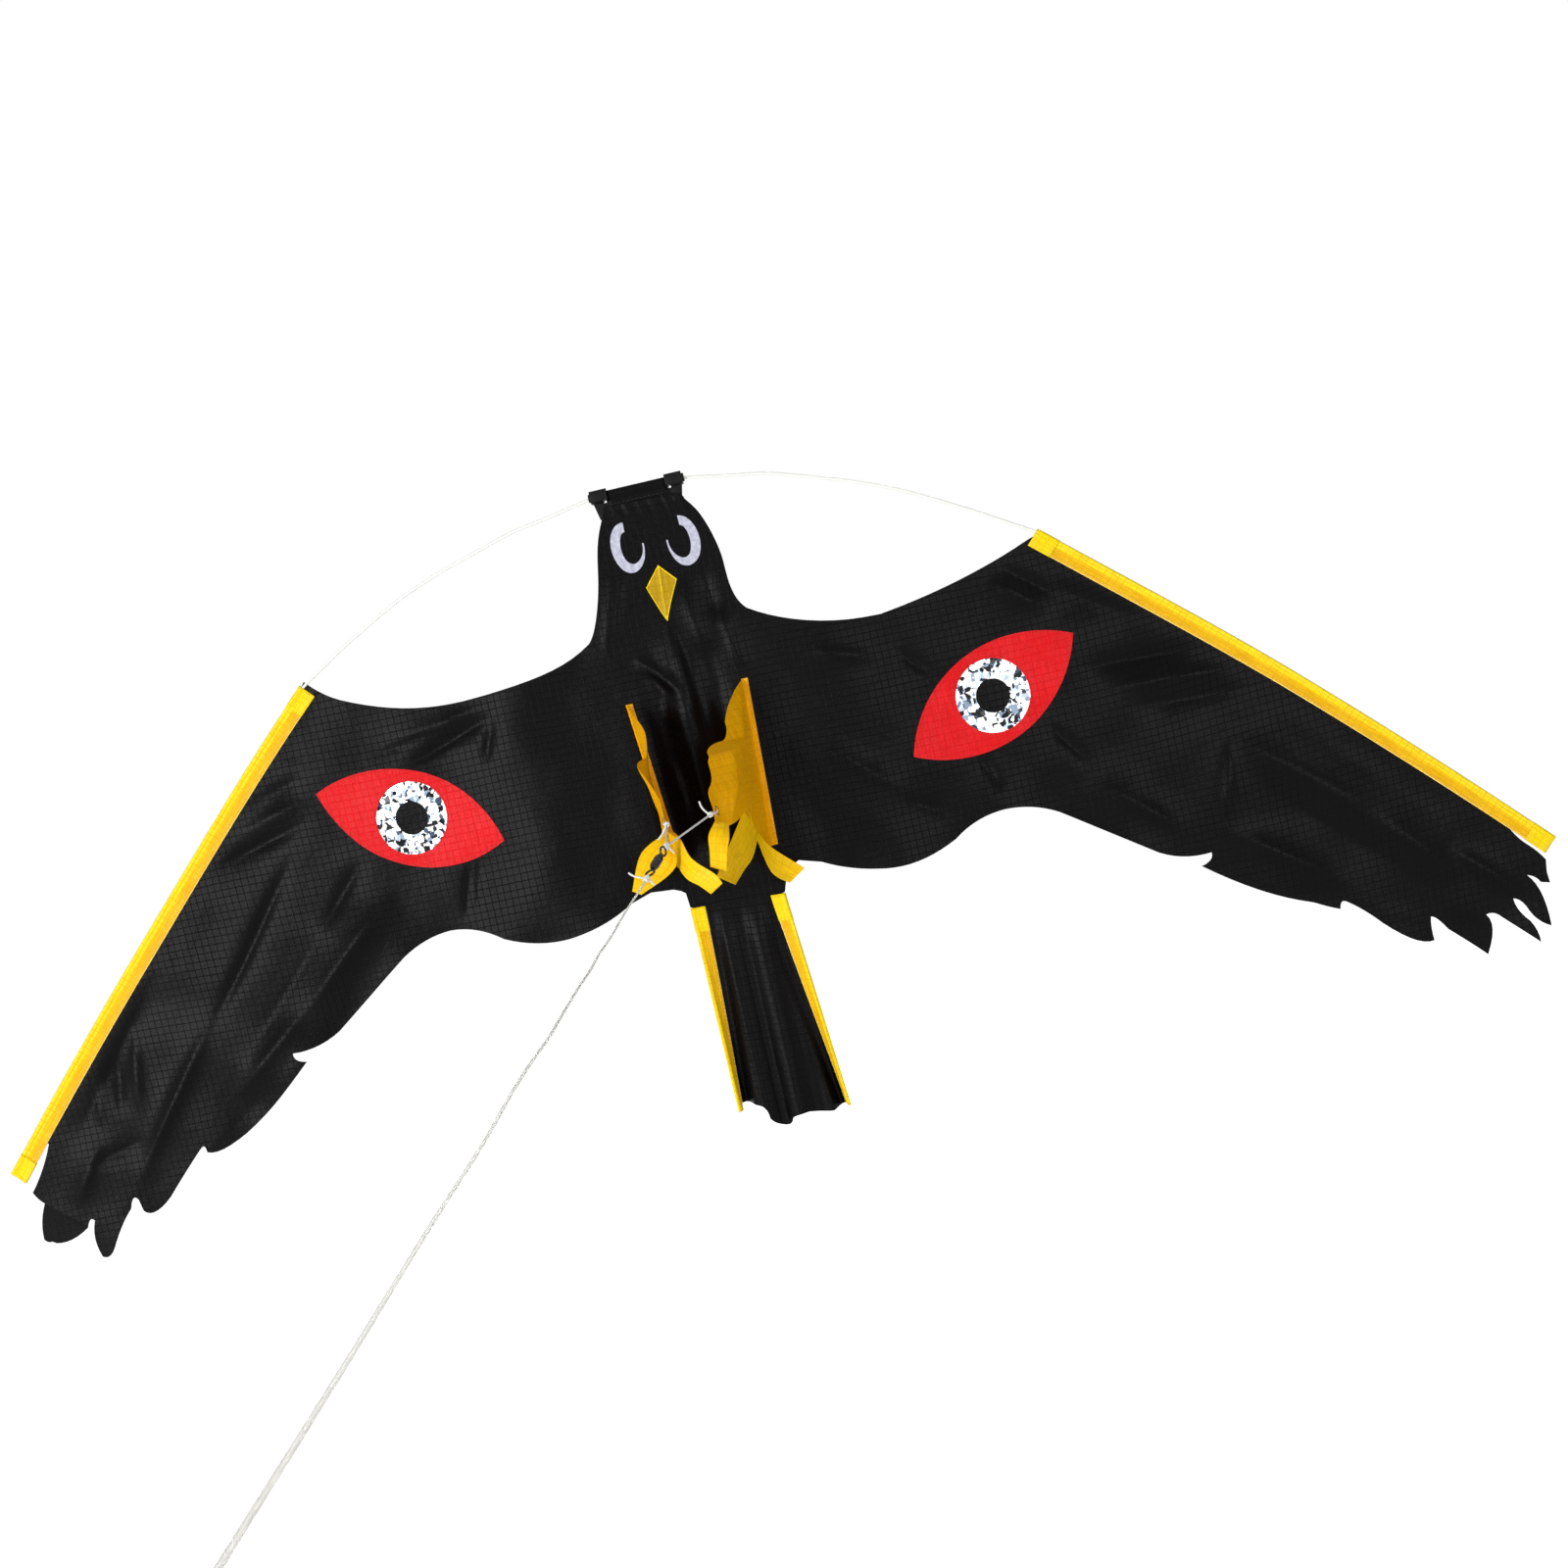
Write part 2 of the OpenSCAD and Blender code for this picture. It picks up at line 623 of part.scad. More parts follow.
module eye_foil(side) {
    color(foil_grey)
        on_wing(side)
            upright(-cloth / 2 - patch, patch)
                translate(eye_mark_at)
                    difference() {
                        circle(d = foil_d);
                        circle(d = pupil_d);
                    }
}

// White crescents, thick on the outside and thin at the inner tip
mark_at = [22, 135];
mark_rx = 13;
mark_rz = 19.5;
mark_w = 6.8;
mark_steps = 24;
function mark_width(a) = mark_w * (1 - 0.85 * step(a, -80, -185));
function mark_edge(a, in) =
    mark_at + [(mark_rx - in * mark_width(a)) * cos(a), (mark_rz - in * mark_width(a)) * sin(a)];
module head_eye_marks() {
    angles = [for (i = [0 : mark_steps]) 84 - 270 * i / mark_steps];
    color(mark_white)
        from_tow()
            for (m = [0, 1]) mirror([m, 0, 0])
                upright(-cloth / 2 - patch, patch)
                    polygon(concat(
                        [for (a = angles) mark_edge(a, 0)],
                        [for (i = [mark_steps : -1 : 0]) mark_edge(angles[i], 1)]));
}

// Beak with a sewn pleat down its middle
beak_half_w = 12;
pleat_w = 1;
module beak_patch() {
    color("#d9b520")
        from_tow() {
            upright(-cloth / 2 - patch, patch)
                polygon([[0, 118], [beak_half_w, 104], [0, 74], [-beak_half_w, 104]]);
            upright(-cloth / 2 - 2 * patch, 1.5 * patch)
                polygon([[0, 116], [pleat_w / 2, 104], [0, 77], [-pleat_w / 2, 104]]);
        }
}

// Loop of cord through a keel's eyelet and round its free edge
tie_w = 3.6;
module bridle_tie(side) {
    color(cord_white)
        on_keel(side) translate([eyelet_out, 0, eyelet_z]) rotate([90, 0, 0]) rotate([90, 0, 0])
            cord(loop_path(knot_at.x - eyelet_out - 1, tie_w), [0, 0, 1], closed = true);
}

// Knots of the two ties, each with its short end
tie_end_l = 11;
module tie_knots() {
    color(cord_white)
        for (side = [-1, 1])
            translate(keel_point(side, knot_at)) {
                aim([0, 0, 0], [0, -1, 0.1]) knot();
                aim([0, 0, 0], [-0.4, -0.5, 1]) cylinder(d = cord_d, h = tie_end_l);
            }
}

// Straight leg of the bridle, from the turning knot of a tie to the tow knot
leg_room = 0.4;
module bridle_leg(side) {
    from = keel_point(side, knot_at);
    clear = knot_d * 0.6 + leg_room;
    color(cord_white)
        aim(from, -from) translate([0, 0, clear]) cylinder(d = cord_d, h = norm(from) - clear);
}

module tow_knot() {
    color(cord_white) aim([0, 0, 0], swivel_dir) knot();
}

// Wire eye of the swivel with its shank towards +Z and a head on it
barrel_wall = 0.9;
shank_head_t = 1.2;
module swivel_eye() {
    color(swivel_black) {
        rotate([90, 0, 0])
            rotate_extrude() translate([swivel_eye_d / 2, 0]) circle(d = swivel_wire_d, $fn = 24);
        shank = barrel_at - upper_eye_at + barrel_wall + shank_head_t;
        translate([0, 0, swivel_eye_d / 2])
            cylinder(d = swivel_wire_d, h = shank - swivel_eye_d / 2);
        translate([0, 0, shank - shank_head_t + swivel_fit])
            cylinder(d = 2 * swivel_wire_d, h = shank_head_t);
    }
}
module swivel_upper_eye() {
    aim([0, 0, 0], swivel_dir) translate([0, 0, upper_eye_at]) swivel_eye();
}
module swivel_lower_eye() {
    aim([0, 0, 0], swivel_dir)
        translate([0, 0, lower_eye_at]) rotate([180, 0, 90]) swivel_eye();
}

// Bulged barrel with a turned groove, hollow round the heads of both shanks
module swivel_barrel() {
    r = barrel_d / 2;
    bore = swivel_wire_d / 2 + swivel_fit;
    hollow = swivel_wire_d + 3 * swivel_fit;
    groove = 0.4;
    color(swivel_black)
        aim([0, 0, 0], swivel_dir) translate([0, 0, barrel_at])
            rotate_extrude()
                polygon([
                    [bore, 0], [r * 0.62, 0], [r * 0.9, barrel_l * 0.15], [r, barrel_l * 0.32],
                    [r, barrel_l / 2 - 1], [r - groove, barrel_l / 2 - 0.5],
                    [r - groove, barrel_l / 2 + 0.5], [r, barrel_l / 2 + 1],
                    [r, barrel_l * 0.68], [r * 0.9, barrel_l * 0.85], [r * 0.62, barrel_l],
                    [bore, barrel_l], [bore, barrel_l - barrel_wall],
                    [hollow, barrel_l - barrel_wall], [hollow, barrel_wall], [bore, barrel_wall]]);
}

module line_knot() {
    color(cord_white) aim([0, 0, 0], swivel_dir) translate([0, 0, line_knot_at]) knot();
}

module kite_line() {
    color(cord_white) cord(through(line_route, rings_per_span), [0, 0, 1]);
}

module line_end_knot() {
    color(cord_white) aim(line_end, line_end_way) knot();
}

// Loop at the end of the line, lying in the plane of the line and X
module line_end_loop() {
    color(cord_white)
        aim(line_end, line_end_way) rotate([0, -90, 0])
            cord(loop_path(end_loop_l, end_loop_w), [0, 0, 1], closed = true);
}

body_panel();
wing_panel(-1);  // left_wing_panel
wing_panel(1);  // right_wing_panel
tail_panel();
head_hem();
leading_sleeve(-1);  // left_leading_sleeve
leading_sleeve(1);  // right_leading_sleeve
inner_tab(-1);  // left_inner_tab
inner_tab(1);  // right_inner_tab
tip_tab(-1);  // left_tip_tab
tip_tab(1);  // right_tip_tab
spar(-1);  // left_spar
spar(1);  // right_spar
spar_root(-1);  // left_spar_root
spar_root(1);  // right_spar_root
head_bar();
head_clip(-1);  // left_head_clip
head_clip(1);  // right_head_clip
keel(-1);  // left_keel
keel(1);  // right_keel
eyelet(-1);  // left_eyelet
eyelet(1);  // right_eyelet
tail_sleeve(-1);  // left_tail_sleeve
tail_sleeve(1);  // right_tail_sleeve
tail_tab(-1);  // left_tail_tab
tail_tab(1);  // right_tail_tab
tail_rod(-1);  // left_tail_rod
tail_rod(1);  // right_tail_rod
eye_patch(-1);  // left_eye_patch
eye_patch(1);  // right_eye_patch
eye_foil(-1);  // left_eye_foil
eye_foil(1);  // right_eye_foil
head_eye_marks();
beak_patch();
bridle_tie(-1);  // left_bridle_tie
bridle_tie(1);  // right_bridle_tie
tie_knots();
bridle_leg(-1);  // left_bridle_leg
bridle_leg(1);  // right_bridle_leg
tow_knot();
swivel_upper_eye();
swivel_barrel();
swivel_lower_eye();
line_knot();
kite_line();
line_end_knot();
line_end_loop();
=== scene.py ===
"""Looks of a hawk-shaped bird scarer kite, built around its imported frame.

The sail's own frame is used for every shape: millimetres, x from the middle of the body, y from the
cloth to the back, z to the head. place() puts such points into the frame, in metres.
"""

import json
import math

import bmesh
import bpy
import numpy as np
from bpy.props import FloatProperty, FloatVectorProperty, PointerProperty
from mathutils import Matrix, Vector
from mathutils.geometry import delaunay_2d_cdt


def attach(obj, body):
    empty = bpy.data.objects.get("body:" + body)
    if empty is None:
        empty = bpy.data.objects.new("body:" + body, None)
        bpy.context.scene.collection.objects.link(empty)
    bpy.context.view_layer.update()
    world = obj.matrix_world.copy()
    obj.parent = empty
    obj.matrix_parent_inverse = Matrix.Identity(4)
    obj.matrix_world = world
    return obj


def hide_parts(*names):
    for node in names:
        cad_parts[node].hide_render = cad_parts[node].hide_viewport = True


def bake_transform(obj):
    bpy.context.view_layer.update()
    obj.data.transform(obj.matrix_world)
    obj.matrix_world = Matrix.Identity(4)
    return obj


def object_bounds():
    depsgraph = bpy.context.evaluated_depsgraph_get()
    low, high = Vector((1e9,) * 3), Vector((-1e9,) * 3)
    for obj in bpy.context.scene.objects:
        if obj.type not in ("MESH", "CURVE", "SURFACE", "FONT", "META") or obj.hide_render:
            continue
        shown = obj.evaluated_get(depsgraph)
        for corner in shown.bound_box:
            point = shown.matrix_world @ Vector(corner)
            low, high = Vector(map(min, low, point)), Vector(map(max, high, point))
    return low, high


bl_info = {
    "name": "Hawk kite looks",
    "version": (1, 0, 0),
    "blender": (4, 5, 0),
    "location": "View3D > Sidebar > Kite",
    "description": "Sail, sleeves, keels, bridle and line of a hawk-shaped bird scarer kite",
    "category": "Object",
}

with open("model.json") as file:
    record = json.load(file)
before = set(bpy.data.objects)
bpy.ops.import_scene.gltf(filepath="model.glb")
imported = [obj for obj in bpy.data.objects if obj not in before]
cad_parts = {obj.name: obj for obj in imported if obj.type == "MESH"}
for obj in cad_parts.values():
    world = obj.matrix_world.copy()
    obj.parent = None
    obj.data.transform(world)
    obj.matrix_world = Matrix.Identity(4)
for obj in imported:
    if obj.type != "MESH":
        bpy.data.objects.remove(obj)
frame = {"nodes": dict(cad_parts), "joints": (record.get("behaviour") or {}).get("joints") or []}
CAD_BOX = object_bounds()

# The sail's frame, from the hinges at the roots of the wings
JOINTS = {joint["name"]: joint for joint in frame["joints"]}
RIGHT_HINGE = np.array(JOINTS["right_wing_flap"]["pos_m"]) * 1000
LEFT_HINGE = np.array(JOINTS["left_wing_flap"]["pos_m"]) * 1000
SAIL_ORIGIN = (RIGHT_HINGE + LEFT_HINGE) / 2
BODY_HALF = (RIGHT_HINGE[0] - LEFT_HINGE[0]) / 2
SWIVEL_DIR = np.array(JOINTS["swivel_spin"]["axis"])

# All sizes are in millimetres

# Wings: how far they stand back, how round they bend and where they are stiff
DIHEDRAL = math.radians(4.7)
FLEX_ROUND = 8.0
FLEX_END = 120.0

# Spars, which bow from the head bar to the sleeves, and tail rods
BOW_R = 347.0
SWEEP = math.radians(44)
BAR_Z = 181.0
BAR_R = 3.0
SPAR_R = 1.25
TAIL_ROD_R = 1.0

# Sleeves and tabs; a hem's fold stands off its rod
HEM_FOLD = 0.5
SLEEVE_W = 15.0
SLEEVE_L = 482.0
TAIL_SLEEVE_W = 11.5
TAB_L = 20.0
TAB_WIDER = 0.3
TAB_LIFT = 0.35
TAB_START = -0.4

# Head and body, whose cloth has long folds between the keels
HEAD_TOP = 176.5
HEAD_HEM_END = 23.2
HEAD_HEM_W = 13.0
CLOTH_EDGE_IN = 4.5
BODY_FOLD = 6.0
FOLD_PITCH = 62.0
HEM_Z = -132.0

# Tail: height of its hinge and x of its corners there, the ends of its rods, and x of its edges at both
TAIL_Z = -138.5
TAIL_ROOT = {-1: -33.0, 1: 47.5}
TAIL_TOP = -150.0
TAIL_END = -322.0
TAIL_EDGE = {-1: (-32.0, -31.0), 1: (44.0, 58.0)}

# Keels; eyelet and tie knot as distance from the seam and height
KEEL_X = 46.0
KEEL_TOP = 17.0
KEEL_BOTTOM = -116.0
KEEL_LEAN = {-1: math.radians(12.5), 1: math.radians(17)}
KEEL_HEM_W = 4.5
EYELET = (105.0, -76.0)
TIE_KNOT = (117.0, -77.0)

# Wing eyes
EYE_AT = (238.0, -36.0)
EYE_L = 158.0
EYE_H = 76.0
EYE_TILT = math.radians(25)
FOIL_D = 58.0
PUPIL_D = 27.0

# Cord
CORD_R = 0.7

# Where the right sleeve begins, and the ways along it and back from it
SPAR_IN = np.array([BODY_HALF + BOW_R * math.sin(SWEEP), BAR_Z - BOW_R * (1 - math.cos(SWEEP))])
ALONG = np.array([math.cos(SWEEP), -math.sin(SWEEP)])
BEHIND = np.array([-math.sin(SWEEP), -math.cos(SWEEP)])
SIDES = {"left": -1, "right": 1}


def linear(code):
    """Linear colour of an sRGB hex value"""
    parts = [int(code[i : i + 2], 16) / 255 for i in (1, 3, 5)]
    return tuple(c / 12.92 if c <= 0.04045 else ((c + 0.055) / 1.055) ** 2.4 for c in parts)


class KiteClothSettings(bpy.types.PropertyGroup):
    """Cloth of the sail, sleeves and keels"""

    thickness: FloatProperty(
        name="Cloth thickness",
        description="Thickness at which the ripstop is drawn",
        default=0.0003,
        min=0.0001,
        max=0.001,
        precision=5,
        subtype="DISTANCE",
    )
    grid: FloatProperty(
        name="Ripstop grid",
        description="Distance between the thick threads of the ripstop",
        default=0.0057,
        min=0.002,
        max=0.01,
        precision=4,
        subtype="DISTANCE",
    )
    stitch: FloatProperty(
        name="Stitch length",
        description="Distance from one stitch to the next",
        default=0.0032,
        min=0.002,
        max=0.006,
        precision=4,
        subtype="DISTANCE",
    )
    crumple: FloatProperty(
        name="Crumple",
        description="How deep the creases of the wings are, as a share of the usual depth",
        default=1.0,
        min=0.0,
        max=2.0,
        subtype="FACTOR",
    )
    black: FloatVectorProperty(
        name="Sail",
        description="Colour of the sail",
        default=linear("#070607"),
        size=3,
        subtype="COLOR",
    )
    amber: FloatVectorProperty(
        name="Sleeve",
        description="Colour of the sleeves",
        default=linear("#e3a808"),
        size=3,
        subtype="COLOR",
    )
    lemon: FloatVectorProperty(
        name="Tab",
        description="Colour of the folded tabs",
        default=linear("#f7d712"),
        size=3,
        subtype="COLOR",
    )
    orange: FloatVectorProperty(
        name="Keel",
        description="Colour of the keels",
        default=linear("#f5ae00"),
        size=3,
        subtype="COLOR",
    )
    red: FloatVectorProperty(
        name="Eye",
        description="Colour of the eye patches",
        default=linear("#da151a"),
        size=3,
        subtype="COLOR",
    )


class KiteCordSettings(bpy.types.PropertyGroup):
    """Bridle and flying line"""

    diameter: FloatProperty(
        name="Cord diameter",
        description="Diameter of the bridle and the line",
        default=2 * CORD_R / 1000,
        min=0.001,
        max=0.002,
        precision=4,
        subtype="DISTANCE",
    )
    braid: FloatProperty(
        name="Braid pitch",
        description="Length along the cord of one plait of its braid",
        default=0.0016,
        min=0.0005,
        max=0.005,
        precision=4,
        subtype="DISTANCE",
    )
    colour: FloatVectorProperty(
        name="Cord",
        description="Colour of the cord",
        default=linear("#f4f3ee"),
        size=3,
        subtype="COLOR",
    )


class KiteStageSettings(bpy.types.PropertyGroup):
    """Floor and light"""

    floor_drop: FloatProperty(
        name="Floor drop",
        description="Distance of the floor below the lowest point of the kite",
        default=0.75,
        min=0.1,
        max=3.0,
        subtype="DISTANCE",
    )
    key: FloatProperty(
        name="Key light",
        description="Power of the key light",
        default=170.0,
        min=0.0,
        max=400.0,
        subtype="POWER",
    )
    fill: FloatProperty(
        name="Fill light",
        description="Power of the fill light",
        default=58.0,
        min=0.0,
        max=400.0,
        subtype="POWER",
    )
    back: FloatProperty(
        name="Back light",
        description="Power of the light behind the kite",
        default=100.0,
        min=0.0,
        max=400.0,
        subtype="POWER",
    )
    sky: FloatProperty(
        name="Sky",
        description="Strength of the even light from all sides",
        default=0.25,
        min=0.0,
        max=3.0,
    )


# Points, curves and meshes


def place(points):
    """Points of the sail's frame, in millimetres, as points of the kite's frame, in metres"""
    return (np.asarray(points, float) + SAIL_ORIGIN) / 1000


def smooth(x, a, b):
    """Smooth step from 0 at a to 1 at b"""
    t = np.clip((np.asarray(x, float) - a) / (b - a), 0, 1)
    return t * t * (3 - 2 * t)


def bow(a, c, b, n=10):
    """Points of a curve from a to b drawn towards c, without the last one"""
    a, c, b = (np.array(p, float) for p in (a, c, b))
    steps = np.arange(n)[:, None] / n
    return list((1 - steps) ** 2 * a + 2 * steps * (1 - steps) * c + steps**2 * b)


def through(points, n):
    """Smooth curve through all points of a route"""
    p = np.array(points, float)
    out = []
    for i in range(len(p) - 1):
        a, b, c, d = p[max(0, i - 1)], p[i], p[i + 1], p[min(len(p) - 1, i + 2)]
        for k in range(n):
            t = k / n
            out.append(
                0.5 * (2 * b + (c - a) * t + (2 * a - 5 * b + 4 * c - d) * t**2)
                + 0.5 * (3 * b - 3 * c + d - a) * t**3
            )
    return np.array(out + [p[-1]])


def spaced(outline, step):
    """Closed outline with its straight stretches cut into pieces no longer than step"""
    points = []
    for a, b in zip(outline, list(outline[1:]) + [outline[0]]):
        n = max(1, math.ceil(math.dist(a, b) / step - 1e-6))
        points += [np.array(a) + (np.array(b) - np.array(a)) * k / n for k in range(n)]
    return np.array(points)


def clipped(outline, at, side):
    """The part of a closed outline whose x lies beyond at (side 1) or before it (side -1)"""
    out = []
    for a, b in zip(outline, list(outline[1:]) + [outline[0]]):
        a, b = np.array(a, float), np.array(b, float)
        if side * (a[0] - at) >= 0:
            out.append(a)
        if (a[0] - at) * (b[0] - at) < 0:
            out.append(a + (b - a) * (at - a[0]) / (b[0] - a[0]))
    return out


def inside(points, loops):
    """Which points lie inside the loops, by counting the edges to their right"""
    hit = np.zeros(len(points), bool)
    for loop in loops:
        a, b = loop, np.roll(loop, -1, axis=0)
        for (ax, ay), (bx, by) in zip(a, b):
            if ay == by:
                continue
            between = (points[:, 1] > min(ay, by)) & (points[:, 1] <= max(ay, by))
            cross = ax + (points[:, 1] - ay) * (bx - ax) / (by - ay)
            hit ^= between & (points[:, 0] < cross)
    return hit


def filled(outline, step, holes=()):
    """Flat points and triangles that fill an outline, about one point every step millimetres"""
    loops = [spaced(loop, step) for loop in (outline, *holes)]
    rim = np.concatenate(loops)
    edges = []
    for loop in loops:
        first = len(edges)
        edges += [(first + i, first + (i + 1) % len(loop)) for i in range(len(loop))]
    low, high = rim.min(0), rim.max(0)
    rows = np.arange(low[1], high[1], step * math.sqrt(0.75))
    grid = []
    for k, row in enumerate(rows):
        xs = np.arange(low[0] + (k % 2) * step / 2, high[0], step)
        grid.append(np.column_stack([xs, np.full(len(xs), row)]))
    grid = np.concatenate(grid)
    grid = grid[inside(grid, loops)]
    gap = np.full(len(grid), np.inf)
    for point in rim:
        gap = np.minimum(gap, ((grid - point) ** 2).sum(1))
    grid = grid[gap > (0.6 * step) ** 2]
    points = [Vector(p) for p in np.concatenate([rim, grid])]
    verts, _, faces, *_ = delaunay_2d_cdt(points, edges, [], 1, 1e-5)
    verts = np.array([tuple(v) for v in verts])
    faces = np.array([tuple(f) for f in faces])
    faces = faces[inside(verts[faces].mean(1), loops)]
    a, b, c = (verts[faces[:, i]] for i in range(3))
    area = np.cross(b - a, c - a)
    faces[area < 0] = faces[area < 0][:, ::-1]
    return verts, faces[np.abs(area) > 1e-6]


# Distance over which the slope of a surface is taken
SLOPE_REACH = 0.4


def facing(surface, flat):
    """Unit way out of the front of a surface at flat points"""
    du = surface(flat + [SLOPE_REACH, 0]) - surface(flat - [SLOPE_REACH, 0])
    dv = surface(flat + [0, SLOPE_REACH]) - surface(flat - [0, SLOPE_REACH])
    out = np.cross(du, dv)
    return out / np.linalg.norm(out, axis=1, keepdims=True)


def raised(surface, height):
    """Surface that lies a height in front of another"""

    def lifted(flat):
        flat = np.asarray(flat, float)
        return surface(flat) + height * facing(surface, flat)

    return lifted


def new_piece(name, verts, faces, material, uv=None, sharp=()):
    """Mesh object at the origin from points in metres; uv holds one pair for each face corner"""
    mesh = bpy.data.meshes.new(name)
    mesh.from_pydata([tuple(v) for v in verts], [], [tuple(int(i) for i in f) for f in faces])
    mesh.polygons.foreach_set("use_smooth", [True] * len(mesh.polygons))
    if uv is not None:
        layer = mesh.uv_layers.new(name="UVMap")
        layer.data.foreach_set("uv", np.asarray(uv, np.float32).ravel())
    if len(sharp):
        marked = {tuple(sorted(e)) for e in sharp}
        mesh.edges.foreach_set("use_edge_sharp", [tuple(sorted(e.vertices)) in marked for e in mesh.edges])
    mesh.materials.append(material)
    mesh.validate()
    obj = bpy.data.objects.new(name, mesh)
    bpy.context.scene.collection.objects.link(obj)
    return obj


def cloth_piece(name, flat, surface, material, thickness):
    """Closed sheet of cloth over flat points, with its pattern laid out along the cloth"""
    points, faces = flat
    n = len(points)
    middle = surface(points)
    out = facing(surface, points) * thickness / 2
    edges = dict.fromkeys((a, b) for face in faces for a, b in zip(face, np.roll(face, -1)))
    rim = [(a, b) for a, b in edges if (b, a) not in edges]
    walls = [(a, a + n, b + n, b) for a, b in rim]
    all_faces = [*faces, *(faces[:, ::-1] + n), *walls]
    corners = np.concatenate([np.array(f) for f in all_faces]) % n
    sharp = [e for a, b in rim for e in ((a, b), (a + n, b + n))]
    verts = place(np.concatenate([middle + out, middle - out]))
    return new_piece(name, verts, all_faces, material, points[corners] / 1000, sharp)


def tube(path, radius, sides=10, closed=False):
    """Points, faces and pattern places of a round cord along a path in metres"""
    path = np.asarray(path, float)
    n = len(path)
    if closed:
        way = np.roll(path, -1, axis=0) - np.roll(path, 1, axis=0)
    else:
        way = np.gradient(path, axis=0)
    way /= np.linalg.norm(way, axis=1, keepdims=True)
    across = np.cross(way[0], [0.0, 0.0, 1.0])
    if np.linalg.norm(across) < 0.1:
        across = np.cross(way[0], [1.0, 0.0, 0.0])
    angles = np.arange(sides) * 2 * math.pi / sides
    radii = np.broadcast_to(np.asarray(radius, float), (n,))
    rings = []
    for i in range(n):
        across = across - way[i] * (across @ way[i])
        across /= np.linalg.norm(across)
        up = np.cross(way[i], across)
        rings.append(path[i] + radii[i] * (np.outer(np.cos(angles), across) + np.outer(np.sin(angles), up)))
    verts = list(np.concatenate(rings))
    lengths = np.concatenate([[0], np.cumsum(np.linalg.norm(np.diff(path, axis=0), axis=1))])
    faces, uv = [], []
    for i in range(n if closed else n - 1):
        j = (i + 1) % n
        for k in range(sides):
            m = (k + 1) % sides
            faces.append((i * sides + k, i * sides + m, j * sides + m, j * sides + k))
            last = lengths[i + 1] if i + 1 < n else lengths[i] + np.linalg.norm(path[0] - path[i])
            around = (k / sides, (k + 1) / sides)
            uv += [(around[0], lengths[i]), (around[1], lengths[i]), (around[1], last), (around[0], last)]
    if not closed:
        start_tip = path[0] - way[0] * radii[0] * 0.5
        end_tip = path[-1] + way[-1] * radii[-1] * 0.5
        for ring, tip, turn in ((0, start_tip, -1), (n - 1, end_tip, 1)):
            verts.append(tip)
            for k in range(sides):
                face = (ring * sides + k, ring * sides + (k + 1) % sides, len(verts) - 1)
                faces.append(face[::turn])
                uv += [(k / sides, lengths[ring])] * 3
    return np.array(verts), faces, uv


def joined(parts):
    """Several point, face and pattern lists as one"""
    verts, faces, uv = [], [], []
    for part_verts, part_faces, part_uv in parts:
        first = len(verts)
        verts += list(part_verts)
        faces += [tuple(i + first for i in f) for f in part_faces]
        uv += list(part_uv)
    return np.array(verts), faces, uv


def round_piece(name, made, material):
    """Piece of what tube() or joined() made"""
    verts, faces, uv = made
    return new_piece(name, verts, faces, material, uv)


def dressed_copy(node, name, material, bevel):
    """Copy of a solid's mesh with its points merged and its edges rounded"""
    source = frame["nodes"][node]
    mesh = source.data.copy()
    mesh.name = name
    obj = bpy.data.objects.new(name, mesh)
    bpy.context.scene.collection.objects.link(obj)
    weld = obj.modifiers.new("weld", "WELD")
    weld.merge_threshold = 1e-6
    dissolve = obj.modifiers.new("flat", "DECIMATE")
    dissolve.decimate_type = "DISSOLVE"
    dissolve.angle_limit = math.radians(1)
    if bevel:
        round_off = obj.modifiers.new("round", "BEVEL")
        round_off.width = bevel
        round_off.segments = 2
        round_off.limit_method = "ANGLE"
        round_off.angle_limit = math.radians(35)
    even = obj.modifiers.new("normals", "WEIGHTED_NORMAL")
    even.keep_sharp = True
    made = bpy.data.meshes.new_from_object(obj.evaluated_get(bpy.context.evaluated_depsgraph_get()))
    made.name = name
    obj.modifiers.clear()
    obj.data = made
    made.polygons.foreach_set("use_smooth", [True] * len(made.polygons))
    made.materials.clear()
    made.materials.append(material)
    return obj


def cloth_thickness():
    """Thickness of the cloth, in millimetres"""
    return bpy.context.scene.kite_cloth.thickness * 1000


def on_body(obj, body, slot, *nodes):
    """Rides a piece on a body, in place of its solids; slot, its finish, is not used"""
    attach(obj, body)
    if nodes:
        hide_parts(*nodes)
    return obj


def across_wing(obj, side, slot, *nodes):
    """Bakes a piece between the body and a wing where it lies, in place of its solids"""
    start = place([side * BODY_HALF, 0, 0])
    end = place([side * FLEX_END, 0, 0])
    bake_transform(obj)
    if nodes:
        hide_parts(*nodes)
    return obj


# Shape of the sail

